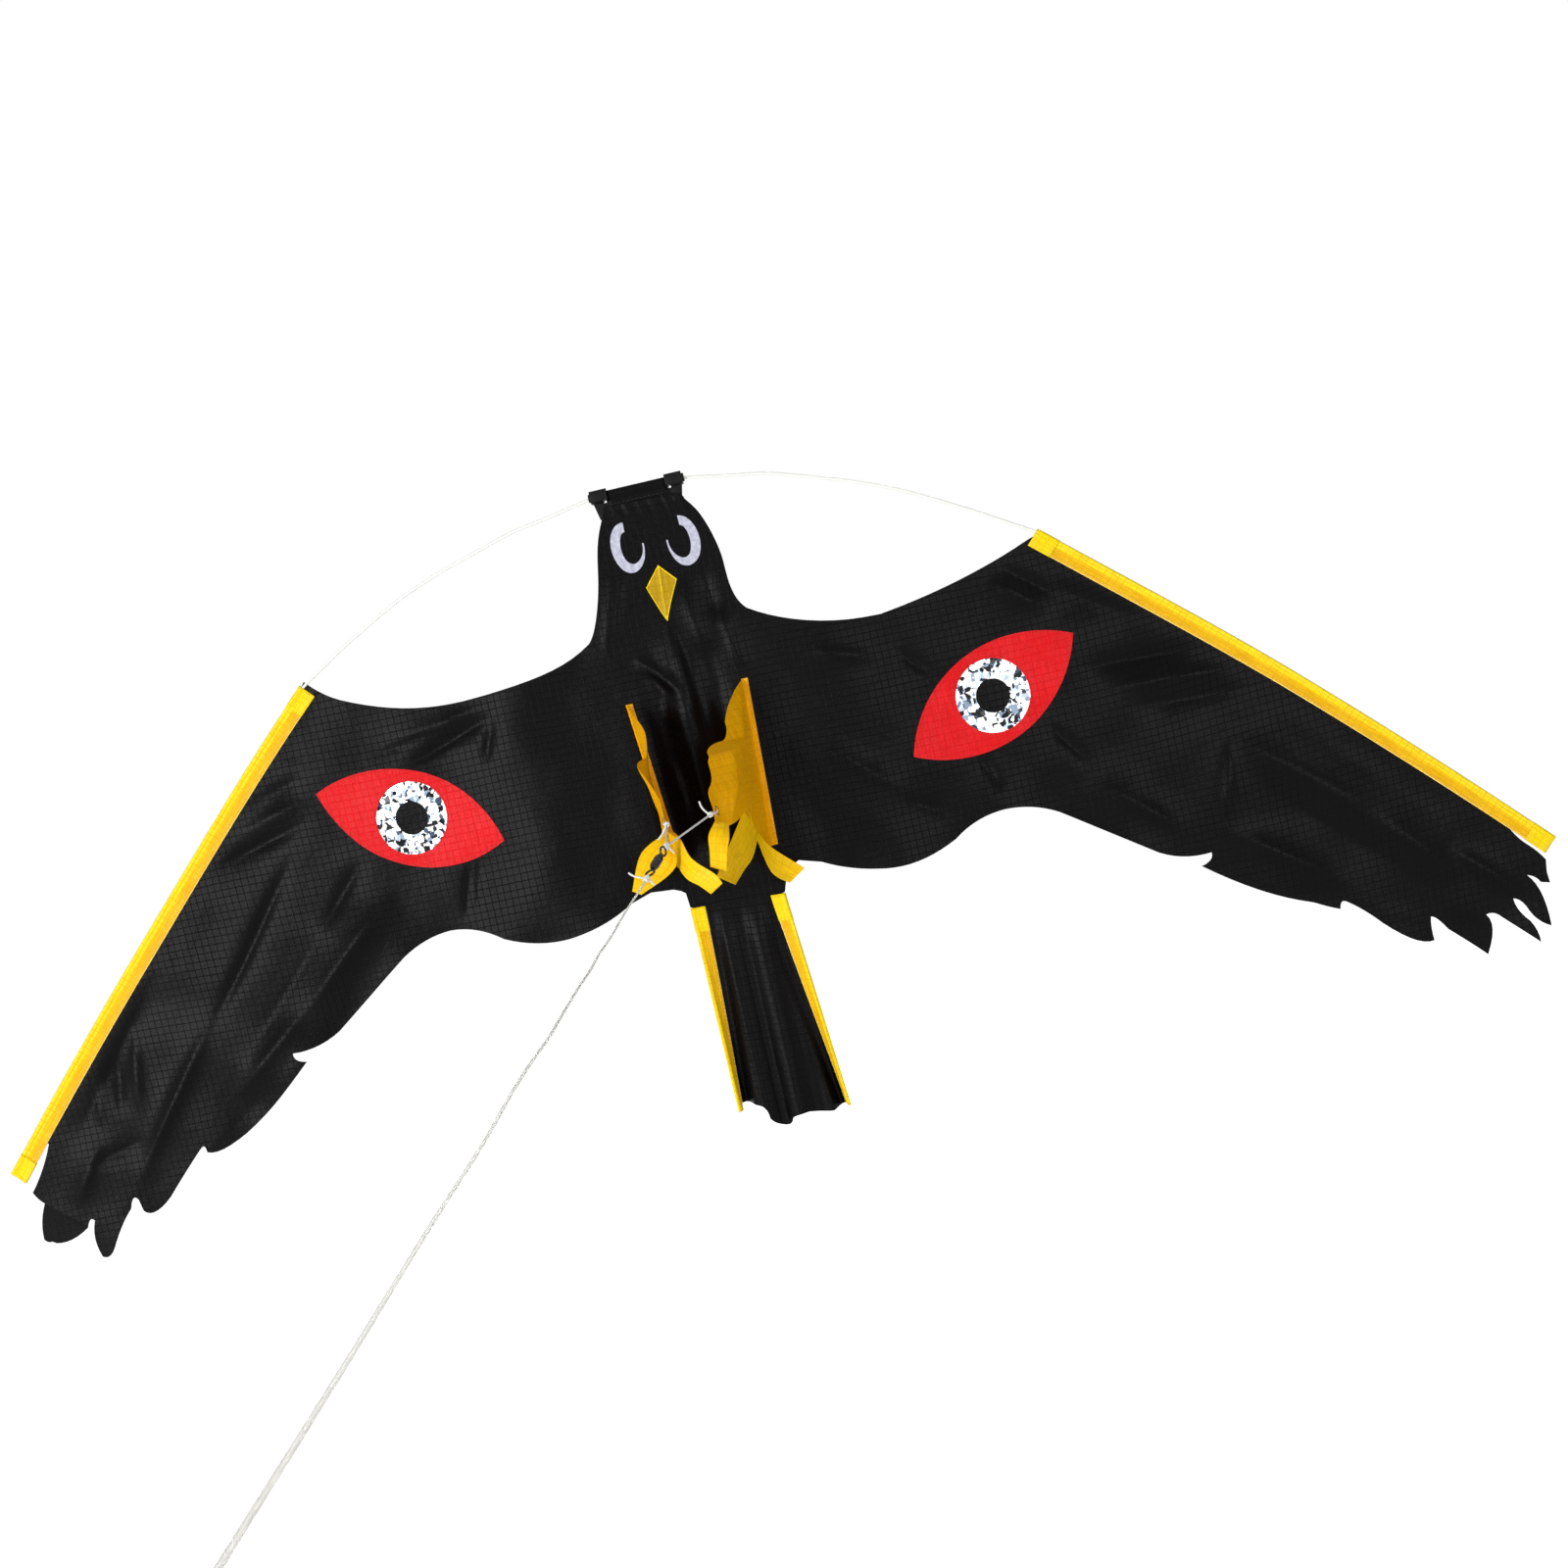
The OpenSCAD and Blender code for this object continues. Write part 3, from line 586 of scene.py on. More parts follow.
# Creases of each wing: both ends as distance from the middle and height, then width and depth, which is
# below zero for a ridge
CREASES = {
    -1: [
        # Long fold down the wing, a groove above and a ridge below
        ((332, -36), (455, -178), 4, 3.2),
        ((436, -152), (548, -288), 6, -4.2),
        ((283, -56), (338, -112), 6, 3.0),
        ((318, -92), (432, -206), 10, 2.0),
        # Broad ridge beside the trailing edge, which hangs back
        ((262, -84), (372, -176), 15, -6.5),
        ((352, -158), (446, -232), 13, -5.0),
        # Pulls between the body and the eye
        ((142, 33), (240, 3), 4, 3.4),
        ((146, 40), (258, 22), 6, -2.4),
        ((190, 31), (262, 18), 3.5, 1.6),
        ((152, 31), (170, -12), 3, 2.2),
        ((198, -76), (214, -126), 2.4, 1.7),
        ((190, -76), (204, -124), 2.4, 1.2),
        # Pulls between the eye and the sleeve
        ((282, 77), (318, 48), 4, 2.0),
        ((310, 40), (356, 24), 4, 1.8),
        ((312, 28), (376, 10), 7, -2.0),
        ((310, 14), (388, -7), 6, 2.6),
        ((310, -4), (404, -28), 7, -2.6),
        ((312, -20), (424, -50), 6, 3.8),
        # Hollow beside the sleeve, and crumples of the outer panel
        ((462, -98), (592, -244), 13, 6.0),
        ((508, -150), (524, -226), 5, -2.6),
        ((530, -170), (540, -228), 4, 2.2),
        ((544, -180), (564, -232), 5, -2.2),
        ((448, -91), (482, -105), 3, 1.6),
        ((462, -94), (456, -118), 3, 1.3),
        ((560, -238), (602, -292), 7, -3.0),
        ((520, -244), (590, -262), 5, 1.8),
    ],
    1: [
        # Long ridge down the wing
        ((404, -106), (530, -214), 14, -3.0),
        ((506, -192), (572, -268), 14, -2.6),
        ((414, -110), (398, -178), 5, -2.0),
        ((392, -96), (584, -274), 26, -3.2),
        ((412, -140), (552, -270), 22, 2.6),
        # Pulls between the eye and the sleeve
        ((304, -30), (424, -42), 7, 3.8),
        ((322, -50), (446, -66), 7, -3.2),
        ((330, -68), (452, -84), 7, 2.0),
        ((262, 66), (308, 26), 4, 2.2),
        ((254, 56), (296, 18), 6, -2.0),
        ((296, 44), (372, -10), 9, 4.0),
        # Fine creases round the eye
        ((170, 18), (194, -12), 2.6, 1.5),
        ((214, -72), (230, -116), 2.6, 1.5),
        ((274, -64), (304, -110), 3.2, 1.9),
        ((100, 30), (160, 12), 6, -1.6),
        ((96, -44), (158, -98), 8, -1.8),
        ((150, -100), (186, -124), 6, 1.6),
        # Hollow beside the sleeve, and the trailing edge
        ((480, -104), (616, -230), 20, 2.8),
        ((386, -176), (492, -254), 11, -3.6),
        ((300, -120), (370, -182), 9, -2.6),
        ((560, -236), (618, -290), 6, -2.4),
    ],
}
# Height of the trailing edge at distances from the middle
TRAILING = [
    (60, -132), (120, -152), (185, -143), (228, -128), (270, -141), (371, -204), (474, -262), (640, -330),
]


def sleeve_place(s, z):
    """How far a point of a wing lies along its sleeve and behind its leading edge"""
    x, y = s - SPAR_IN[0], z - SPAR_IN[1]
    return x * ALONG[0] + y * ALONG[1], x * BEHIND[0] + y * BEHIND[1] + SPAR_R + HEM_FOLD


# How far the line's pull draws each spar out of line at the sleeve's ends, and bows it between them
SPAR_DRAWN = {-1: (3.6, 0.3), 1: (-1.6, 3.7)}
SPAR_BOWED = 5.8
# How far the left wing hangs up near its eye, and the right one down
ROLL = 3.3


def spar_shift(side, t):
    """How far out of line a spar lies, t along its sleeve"""
    share = np.clip(t / SLEEVE_L, 0, 1)
    start, tip = SPAR_DRAWN[side]
    return start + (tip - start) * share + 4 * SPAR_BOWED * share * (1 - share)


def wing_roll(side, s):
    """How much higher a wing hangs near its eye, as the kite rolls a little to one side"""
    return -side * ROLL * smooth(s, BODY_HALF, 150) * (1 - smooth(s, 320, 480))


def drawn(side, s, z):
    """Flat point of a wing as the spar's bow and the roll draw it"""
    t, p = sleeve_place(s, z)
    out = spar_shift(side, t) * (1 - smooth(p, SLEEVE_W, 110)) * smooth(s, 150, 290)
    return s - BEHIND[0] * out, z - BEHIND[1] * out + wing_roll(side, s) * smooth(z, -145, -60)


# How round the lines of the creases are
CREASE_R = 1.6

# How far the cloth stands out between the body and each eye, where, how wide, and how strong its creases are
SWELL = {-1: 7.0, 1: 2.0}
SWELL_AT = 135.0
SWELL_W = 38.0
CREASE_GAIN = {-1: 1.25, 1: 1.7}


def creases(lines, x, z):
    """Depth of straight creases at points of the flat cloth"""
    depth = 0 * x
    for (x1, z1), (x2, z2), width, height in lines:
        length = math.hypot(x2 - x1, z2 - z1)
        way = ((x2 - x1) / length, (z2 - z1) / length)
        t = ((x - x1) * way[0] + (z - z1) * way[1]) / length
        off = (x - x1) * way[1] - (z - z1) * way[0]
        taper = smooth(t, 0, 0.4) * (1 - smooth(t, 0.6, 1))
        depth = depth + height * np.exp((CREASE_R - np.hypot(off, CREASE_R)) / width) * taper
    return depth


def wing_relief(side, s, z):
    """Depth of a wing's creases, waves and fluttering edge"""
    depth = 0.5 * np.sin(s / 13 + z / 19 + side) + 0.45 * np.sin(s / 21 - z / 11 + 2 * side)
    depth = depth + CREASE_GAIN[side] * creases(CREASES[side], s, z)
    depth = depth - SWELL[side] * np.exp(-(((s - SWELL_AT) / SWELL_W) ** 2))
    edge = np.interp(s, *zip(*TRAILING))
    depth = depth + 2.4 * np.sin(s / 15 + 1.7 * side) * np.exp(-np.clip(z - edge, 0, None) / 26)
    _, behind = sleeve_place(s, z)
    return depth * smooth(behind, SLEEVE_W - 2, 46) * smooth(s, BODY_HALF - 8, BODY_HALF + 26)


# Creases of the body: both ends as x and height, then width and depth, below zero for a ridge
BODY_CREASES = [
    # Fold from the tip of the beak down between the keels, and the groove on its right
    ((0, 78), (8, -16), 6, -6.5),
    ((6, 76), (15, -26), 5, 4.0),
    # Edge of the cloth that hangs over below it
    ((-33, 54), (4, 12), 4, -4.5),
    ((-31, 45), (-3, 8), 5, 3.5),
    # Streaks between the keels
    ((-4, 24), (11, -36), 4, -3.0),
    ((-22, -26), (-15, -92), 5, -3.0),
    # Pleats on both sides of the beak
    ((-36, 122), (-54, 54), 2.4, -1.8),
    ((-27, 126), (-45, 60), 2.4, -1.6),
    ((31, 116), (42, 60), 5, 3.0),
    ((16, 108), (27, 36), 8, -3.2),
    ((40, 86), (52, 20), 5, -2.6),
]


def body_relief(x, z):
    """Depth of the folds between the keels and below the beak"""
    belly = smooth(z, 72, -10) * smooth(z, TAIL_Z, -90) * (np.abs(x) < KEEL_X)
    depth = -BODY_FOLD * belly * np.cos(2 * math.pi * x / FOLD_PITCH) * (1 - (x / KEEL_X) ** 2)
    depth = depth + 1.3 * belly * np.sin(x / 3.4 + z / 50) * (1 - (x / KEEL_X) ** 2)
    depth = depth + creases(BODY_CREASES, x, z)
    gathers = 0.5 * np.sin(x / 1.7) * np.exp(-np.abs(z - 168) / 7) * (np.abs(x) < 26)
    return depth + gathers


# How far the head leans to the right at the height of its eyes, and how far it turns
HEAD_LEAN = 5.0
HEAD_TURN = 0.1


def swept_back(s):
    """Distance from the middle and depth of a wing's points, s along the cloth from the middle"""
    bend = FLEX_ROUND * np.logaddexp(0, (s - BODY_HALF) / FLEX_ROUND)
    return s - (1 - math.cos(DIHEDRAL)) * bend, math.sin(DIHEDRAL) * bend


def sail(flat):
    """Points of the sail at distances along the cloth, left of the middle below zero, and heights"""
    flat = np.asarray(flat, float)
    side = np.where(flat[:, 0] < 0, -1, 1)
    depth = np.where(
        side < 0,
        wing_relief(-1, np.abs(flat[:, 0]), flat[:, 1]),
        wing_relief(1, np.abs(flat[:, 0]), flat[:, 1]),
    ) + body_relief(flat[:, 0], flat[:, 1])
    left = drawn(-1, np.abs(flat[:, 0]), flat[:, 1])
    right = drawn(1, np.abs(flat[:, 0]), flat[:, 1])
    s = np.where(side < 0, left[0], right[0])
    z = np.where(side < 0, left[1], right[1])
    out, behind = swept_back(s)
    x = side * out
    y = behind + bpy.context.scene.kite_cloth.crumple * depth
    lean = smooth(z, 72, 126) * (1 - 0.75 * smooth(z, 154, 178))
    return np.column_stack([x + HEAD_LEAN * lean, y, z - HEAD_TURN * x * lean])


# Crease where the left wing's outer feathers hang back, how far they do and which way
TIP_CREASE = ((627, -281), (594, -308))
TIP_BEND = math.radians(20)
TIP_WAY = (-0.52, 1.0, -0.19)


def left_wing_sail(flat):
    """The sail with the left wing's outer feathers hanging back below their crease"""
    flat = np.asarray(flat, float)
    (s1, z1), (s2, z2) = TIP_CREASE
    length = math.hypot(s2 - s1, z2 - z1)
    way = np.array([s2 - s1, z2 - z1]) / length
    off = np.column_stack([-flat[:, 0] - s1, flat[:, 1] - z1])
    beyond = np.clip(off @ [-way[1], way[0]], 0, None)
    within = 1 - smooth(off @ way, length - 4, length + 6)
    points = sail(flat)
    back = within * math.tan(TIP_BEND) * beyond * smooth(beyond, 0, 3)
    return points + np.outer(back, TIP_WAY)


def wing_surface(side):
    """Surface of one wing"""
    return left_wing_sail if side < 0 else sail


def mirrored(points, side):
    """Flat points of a right half on a side"""
    points = [(side * p[0], p[1]) for p in points]
    return points if side > 0 else points[::-1]


def on_sleeve(t, p):
    """Flat point t along a leading sleeve and p behind its edge"""
    return SPAR_IN + t * ALONG + (p - SPAR_R - HEM_FOLD) * BEHIND


def right_feathers():
    """Splayed feathers of the right tip, from the sleeve to the trailing edge"""
    return [
        *bow((612, -233), (618, -245), (626, -252), 5),
        *bow((626, -252), (636, -261), (640, -270), 5),
        (637, -276),
        (638, -285),
        (631, -283),
        *bow((631, -283), (628, -277), (621, -275), 4),
        *bow((621, -275), (633, -287), (633, -318), 7),
        *bow((633, -318), (621, -312), (616, -298), 6),
        *bow((616, -298), (612, -291), (607, -290), 4),
        *bow((607, -290), (608, -300), (617, -310), 5),
        *bow((617, -310), (622, -318), (622, -328), 4),
        *bow((622, -328), (606, -312), (596, -302), 6),
        *bow((596, -302), (590, -295), (584, -297), 5),
        *bow((584, -297), (592, -306), (580, -328), 6),
        *bow((580, -328), (572, -319), (553, -301), 5),
        *bow((553, -301), (545, -288), (541, -288), 5),
        *bow((541, -288), (539, -296), (540, -307), 4),
        *bow((540, -307), (526, -309), (502, -284), 7),
        *bow((502, -284), (490, -270), (479, -262), 5),
        *bow((479, -262), (473, -257), (472, -266), 5),
        *bow((472, -266), (464, -263), (452, -256), 4),
        *bow((452, -256), (412, -241), (371, -208), 8),
    ]


def left_feathers():
    """Feathers of the left tip: the outer ones hang back, the next have round ends"""
    return [
        *bow((609, -234), (618, -252), (635, -270), 6),
        *bow((635, -270), (632, -277), (627, -281), 4),
        *bow((627, -281), (635, -296), (635, -311), 6),
        *bow((635, -311), (631, -316), (626, -313), 4),
        (625, -316),
        *bow((625, -316), (612, -319), (594, -308), 6),
        *bow((594, -308), (590, -298), (586, -303), 5),
        *bow((586, -303), (593, -318), (587, -334), 6),
        *bow((587, -334), (579, -339), (571, -324), 6),
        *bow((571, -324), (562, -309), (552, -299), 5),
        *bow((552, -299), (548, -286), (544, -293), 5),
        *bow((544, -293), (543, -299), (542, -303), 3),
        *bow((542, -303), (535, -312), (516, -296), 7),
        *bow((516, -296), (500, -280), (480, -262), 5),
        *bow((480, -262), (474, -256), (474, -265), 5),
        *bow((474, -265), (464, -270), (437, -256), 6),
        *bow((437, -256), (405, -238), (371, -208), 7),
    ]


# Where the cloth leaves the leading sleeve, along it
FEATHER_ROOT = SLEEVE_L - 40


def half_outline(side):
    """One half of the sail, from the middle of the head round the wing to the middle of the hem"""
    return [
        (0, HEAD_TOP),
        (HEAD_HEM_END, HEAD_TOP),
        (HEAD_HEM_END, HEAD_TOP - 4),
        (31.5, HEAD_TOP - 6),
        *bow((32.5, 166), (46, 148), (50, 112)),
        *bow((50, 112), (54, 80), (64, 70.5)),
        *bow((64, 70.5), (100, 47), (165, 46)),
        *bow((165, 46), (236, 49 + 6 * side), on_sleeve(0, CLOTH_EDGE_IN), 14),
        on_sleeve(0, CLOTH_EDGE_IN),
        on_sleeve(FEATHER_ROOT, CLOTH_EDGE_IN),
        on_sleeve(FEATHER_ROOT, SLEEVE_W - 4),
        *(right_feathers() if side > 0 else left_feathers()),
        *bow((371, -208), (382, -206), (381, -199), 5),
        *bow((381, -199), (356, -201), (334, -186), 8),
        *bow((270, -141), (250, -129), (228, -128.5), 8),
        *bow((228, -128.5), (205, -129), (185, -143.5), 8),
        *bow((185, -143.5), (152, -159), (120, -152.5), 10),
        *bow((120, -152.5), (93, -148), (72, -134), 8),
        (BODY_HALF, HEM_Z),
    ]


# Materials


def add(tree, kind, inputs=None, **settings):
    """Adds a node with its settings, and links or sets its inputs"""
    node = tree.nodes.new(kind)
    for name, value in settings.items():
        setattr(node, name, value)
    for key, value in (inputs or {}).items():
        if isinstance(value, bpy.types.NodeSocket):
            tree.links.new(value, node.inputs[key])
        else:
            node.inputs[key].default_value = value
    return node


def new_material(name):
    """Empty node material and its tree"""
    material = bpy.data.materials.new(name)
    material.use_nodes = True
    material.node_tree.nodes.clear()
    return material, material.node_tree


def shade(tree, **inputs):
    """Ends a material in one principled surface; underscores stand for the spaces of socket names"""
    sockets = {name.replace("_", " "): value for name, value in inputs.items()}
    surface = add(tree, "ShaderNodeBsdfPrincipled", sockets)
    add(tree, "ShaderNodeOutputMaterial", {"Surface": surface.outputs["BSDF"]})


def pattern(tree):
    """Places of the pattern, in metres along the surface"""
    return add(tree, "ShaderNodeUVMap", uv_map="UVMap").outputs["UV"]


def maths(tree, operation, a, b):
    """Value worked out of two others"""
    return add(tree, "ShaderNodeMath", {0: a, 1: b}, operation=operation).outputs["Value"]


def scaled(tree, vector, by):
    """Vector or colour multiplied by a value"""
    return add(tree, "ShaderNodeVectorMath", {0: vector, "Scale": by}, operation="SCALE").outputs["Vector"]


def noise(tree, vector, scale, detail, roughness=0.5):
    """Value of a noise at places"""
    inputs = {"Vector": vector, "Scale": scale, "Detail": detail, "Roughness": roughness}
    return add(tree, "ShaderNodeTexNoise", inputs).outputs["Fac"]


def mapped(tree, value, given, wanted):
    """Value of a given range as one of a wanted range"""
    inputs = dict(zip(("From Min", "From Max", "To Min", "To Max"), (*given, *wanted)), Value=value)
    return add(tree, "ShaderNodeMapRange", inputs).outputs["Result"]


def mixed(tree, share, a, b):
    """Colour between two others, each a socket or a linear colour"""
    a, b = ((*c, 1) if isinstance(c, tuple) else c for c in (a, b))
    return add(tree, "ShaderNodeMix", {"Factor": share, "A": a, "B": b}, data_type="RGBA").outputs["Result"]


def bumped(tree, height, strength, distance, normal=None):
    """Normal of a relief, on top of another one if it is given"""
    inputs = {"Height": height, "Strength": strength, "Distance": distance}
    if normal is not None:
        inputs["Normal"] = normal
    return add(tree, "ShaderNodeBump", inputs).outputs["Normal"]


def ramp_colour(tree, share, stops, interpolation="LINEAR"):
    """Colour that goes through stops, each a share from 0 to 1 and a linear colour"""
    ramp = add(tree, "ShaderNodeValToRGB", {"Fac": share})
    ramp.color_ramp.interpolation = interpolation
    while len(ramp.color_ramp.elements) < len(stops):
        ramp.color_ramp.elements.new(0.5)
    for element, (at, colour) in zip(ramp.color_ramp.elements, stops):
        element.position = at
        element.color = (*colour, 1)
    return ramp.outputs["Color"]


# Dyed nylon drinks in most of the light, so its shine stays well below that of bare plastic
CLOTH_SHINE = 0.055
CLOTH_SHEEN = 0.002
# Thick threads about 0.7 mm wide, and a weave twice as coarse as the real one so that it shows, in metres
THICK_THREAD = 0.00036
WEAVE = 0.0006


def ripstop(name, colour, line, worn, bands=()):
    """Ripstop nylon: plain weave with thick threads in a grid, calendered, so it shines a little on folds.

    line is the colour of the grid's threads, worn the one that handling brings out here and there. bands are
    colours at distances in millimetres across a folded hem, where more or less cloth lies behind it, with
    painted shade and painted light among them; None is the cloth's own colour.
    """
    grid = bpy.context.scene.kite_cloth.grid
    material, tree = new_material(name)
    place_on = pattern(tree)
    threads = add(
        tree,
        "ShaderNodeTexBrick",
        {"Vector": place_on, "Scale": 1.0, "Brick Width": grid, "Row Height": grid,
         "Mortar Size": THICK_THREAD, "Mortar Smooth": 0.6},
        offset=0.0,
    ).outputs["Fac"]
    weave = add(
        tree,
        "ShaderNodeTexBrick",
        {"Vector": place_on, "Scale": 1.0, "Brick Width": WEAVE, "Row Height": WEAVE,
         "Mortar Size": WEAVE / 5, "Mortar Smooth": 1.0},
    ).outputs["Fac"]
    cloudy = noise(tree, place_on, scale=22.0, detail=5.0, roughness=0.6)
    streaks = add(tree, "ShaderNodeMapping", {"Vector": place_on, "Scale": (900.0, 60.0, 1.0)})
    yarn = noise(tree, streaks.outputs["Vector"], scale=1.0, detail=2.0)
    coloured = colour
    # A hem's bands, with the painted shade and painted light among them, take the place of the plain colour
    if bands:
        reach = bands[-1][0]
        across = add(tree, "ShaderNodeSeparateXYZ", {"Vector": place_on}).outputs["X"]
        stops = [(at / reach, linear(code) if code else colour) for at, code in bands]
        coloured = ramp_colour(tree, maths(tree, "MULTIPLY", across, 1000 / reach), stops)
    handled = mixed(tree, mapped(tree, cloudy, (0.42, 0.72), (0.0, 0.55)), coloured, worn)
    toned = scaled(tree, handled, mapped(tree, yarn, (0.3, 0.7), (0.86, 1.14)))
    # Here and there the calendering has pressed the grid flat
    pressed = mapped(tree, cloudy, (0.38, 0.6), (0.45, 0.95))
    lines = maths(tree, "MULTIPLY", threads, pressed)
    lined = mixed(tree, lines, toned, line)
    # The thick threads of the grid are rougher than the calendered cloth between them
    rough = mapped(tree, cloudy, (0.0, 1.0), (0.22, 0.3))
    ribbed = mapped(tree, lines, (0.0, 1.0), (rough, 0.8))
    fine = bumped(tree, weave, strength=0.16, distance=0.0002)
    ribs = bumped(tree, threads, strength=0.35, distance=0.0003, normal=fine)
    crumpled = bumped(tree, cloudy, strength=0.3, distance=0.005, normal=ribs)
    shade(tree, Base_Color=lined, Roughness=ribbed, IOR=1.53, Specular_IOR_Level=CLOTH_SHINE,
          Sheen_Weight=CLOTH_SHEEN, Sheen_Roughness=0.5, Normal=crumpled)
    return material


def charcoal_ripstop():
    """Sail cloth, dyed nearly black"""
    black = tuple(bpy.context.scene.kite_cloth.black)
    return ripstop("charcoal_ripstop", black, linear("#020102"), linear("#0d0b0d"))


# Across a sleeve from its inner cut edge: pale edge, amber over the black sail, lemon over the rod brightened
# by painted light shining through, a painted olive shadow of the rod at the fold, and the same again on the
# back
SLEEVE_BANDS_AND_PAINTED_LIGHT = [
    (0.0, "#fff1a8"), (0.5, "#ffe680"), (0.9, None), (8.2, "#efb70c"), (9.4, "#ffdc20"),
    (14.6, "#ffe22a"), (15.3, "#8d7a12"), (16.8, "#8d7a12"), (17.6, "#ffe22a"), (22.5, "#f0ba0c"),
    (34.0, None),
]


def sleeve_ripstop():
    """Amber ripstop of the sleeves: bright with painted light over the rod, a painted rod shadow at the fold,
    pale at the cut edge
    """
    amber = tuple(bpy.context.scene.kite_cloth.amber)
    return ripstop("amber_ripstop", amber, linear("#e6ae0a"), linear("#ffd02a"), SLEEVE_BANDS_AND_PAINTED_LIGHT)


def tab_ripstop():
    """Lemon ripstop of the folded tabs"""
    lemon = tuple(bpy.context.scene.kite_cloth.lemon)
    return ripstop("lemon_ripstop", lemon, linear("#e8c000"), linear("#fce236"))


def keel_ripstop():
    """Orange yellow ripstop of the keels"""
    orange = tuple(bpy.context.scene.kite_cloth.orange)
    return ripstop("orange_ripstop", orange, linear("#e69c00"), linear("#fdc010"))


def toe_ripstop():
    """Yellow ripstop of the toes, a shade paler than the legs"""
    return ripstop("yellow_ripstop", linear("#ffca0a"), linear("#efb200"), linear("#ffd83a"))


def beak_ripstop():
    """Yellow ripstop of the beak, in one layer, so that the black behind it darkens it to olive"""
    return ripstop("olive_ripstop", linear("#b89214"), linear("#9c7c10"), linear("#cfac34"))


def eye_ripstop():
    """Red ripstop of the eye patches"""
    red = tuple(bpy.context.scene.kite_cloth.red)
    return ripstop("red_ripstop", red, linear("#d0151a"), linear("#e63034"))


# Share of the shards from which each painted reflection shows
SHARD_PAINTED_REFLECTIONS = [
    (0.0, "#0d1016"), (0.26, "#f6f8fb"), (0.52, "#8fa0b4"), (0.64, "#ffffff"), (0.86, "#39485e"),
    (0.93, "#cfe2ee"),
]


def shard_foil():
    """Holographic film on vinyl: cut-glass shards, each tilted its own way, whose colours are painted
    reflections that flash white, grey blue or black by turns
    """
    material, tree = new_material("shard_foil")
    place_on = pattern(tree)
    # Shards about 6 mm across, split again by smaller ones
    large = add(tree, "ShaderNodeTexVoronoi", {"Vector": place_on, "Scale": 150.0}, distance="CHEBYCHEV")
    turned = add(tree, "ShaderNodeMapping", {"Vector": place_on, "Rotation": (0.0, 0.0, 0.7)})
    small = add(tree, "ShaderNodeTexVoronoi", {"Vector": turned.outputs["Vector"], "Scale": 200.0},
                distance="MANHATTAN")
    first = add(tree, "ShaderNodeSeparateColor", {"Color": large.outputs["Color"]}).outputs["Red"]
    second = add(tree, "ShaderNodeSeparateColor", {"Color": small.outputs["Color"]}).outputs["Green"]
    share = maths(tree, "FRACT", maths(tree, "ADD", first, second), 1.0)
    # Each shard's colour, white, grey blue or black, is a painted reflection
    stops = [(at, linear(code)) for at, code in SHARD_PAINTED_REFLECTIONS]
    painted_reflection = ramp_colour(tree, share, stops, "CONSTANT")
    tilt = add(tree, "ShaderNodeVectorMath", {0: small.outputs["Color"], 1: (0.5, 0.5, 0.5)},
               operation="SUBTRACT")
    leaned = scaled(tree, tilt.outputs["Vector"], 0.5)
    face = add(tree, "ShaderNodeNewGeometry").outputs["Normal"]
    normal = add(tree, "ShaderNodeVectorMath", {0: face, 1: leaned}, operation="ADD")
    unit = add(tree, "ShaderNodeVectorMath", {0: normal.outputs["Vector"]}, operation="NORMALIZE")
    shade(tree, Base_Color=painted_reflection, Metallic=0.55, Roughness=0.2, Normal=unit.outputs["Vector"])
    return material


def bead_film():
    """Retroreflective film of the head's marks: pale, with a fine grain of glass beads"""
    material, tree = new_material("bead_film")
    place_on = pattern(tree)
    # Beads drawn 0.5 mm apart, coarser than the real ones, so that they show
    beads = add(tree, "ShaderNodeTexVoronoi", {"Vector": place_on, "Scale": 2000.0}).outputs["Distance"]
    mottle = noise(tree, place_on, scale=300.0, detail=3.0)
    base = mixed(tree, mapped(tree, mottle, (0.3, 0.7), (0.0, 1.0)), linear("#9f9fb4"), linear("#c9c9d9"))
    bump = bumped(tree, beads, strength=0.3, distance=0.0003)
    shade(tree, Base_Color=base, Roughness=0.42, Specular_IOR_Level=0.6, Normal=bump)
    return material


def braided_cord(name, clear):
    """Cord with plaits in a chevron round it, softly shiny; clear is the share of light it lets through"""
    settings = bpy.context.scene.kite_cord
    material, tree = new_material(name)
    axes = add(tree, "ShaderNodeSeparateXYZ", {"Vector": pattern(tree)}).outputs
    along = maths(tree, "MULTIPLY", axes["Y"], 1 / settings.braid)
    around = maths(tree, "PINGPONG", maths(tree, "MULTIPLY", axes["X"], 8.0), 1.0)
    plait = maths(tree, "PINGPONG", maths(tree, "ADD", along, around), 0.5)
    # Darker between the plaits: painted shade in the braid's grooves
    base = scaled(tree, tuple(settings.colour), mapped(tree, plait, (0.0, 0.5), (0.84, 1.0)))
    bump = bumped(tree, plait, strength=0.5 * (1 - clear), distance=0.0003)
    shade(tree, Base_Color=base, Roughness=0.58, Sheen_Weight=0.15, Transmission_Weight=clear, Normal=bump)
    return material


def speckled(name, colour, pale, rough, metallic=0.0, grain=900.0, bump=0.12, shine=0.5):
    """Even finish with a fine grain, a little paler where it is handled"""
    material, tree = new_material(name)
    place_on = add(tree, "ShaderNodeTexCoord").outputs["Object"]
    fine = noise(tree, place_on, scale=grain, detail=4.0)
    broad = noise(tree, place_on, scale=grain / 14, detail=3.0)
    base = mixed(tree, mapped(tree, broad, (0.35, 0.75), (0.0, 1.0)), linear(colour), linear(pale))
    roughness = mapped(tree, fine, (0.0, 1.0), (rough - 0.08, rough + 0.12))
    relief = bumped(tree, fine, strength=bump, distance=0.0002)
    shade(tree, Base_Color=base, Roughness=roughness, Metallic=metallic, Specular_IOR_Level=shine,
          Normal=relief)
    return material


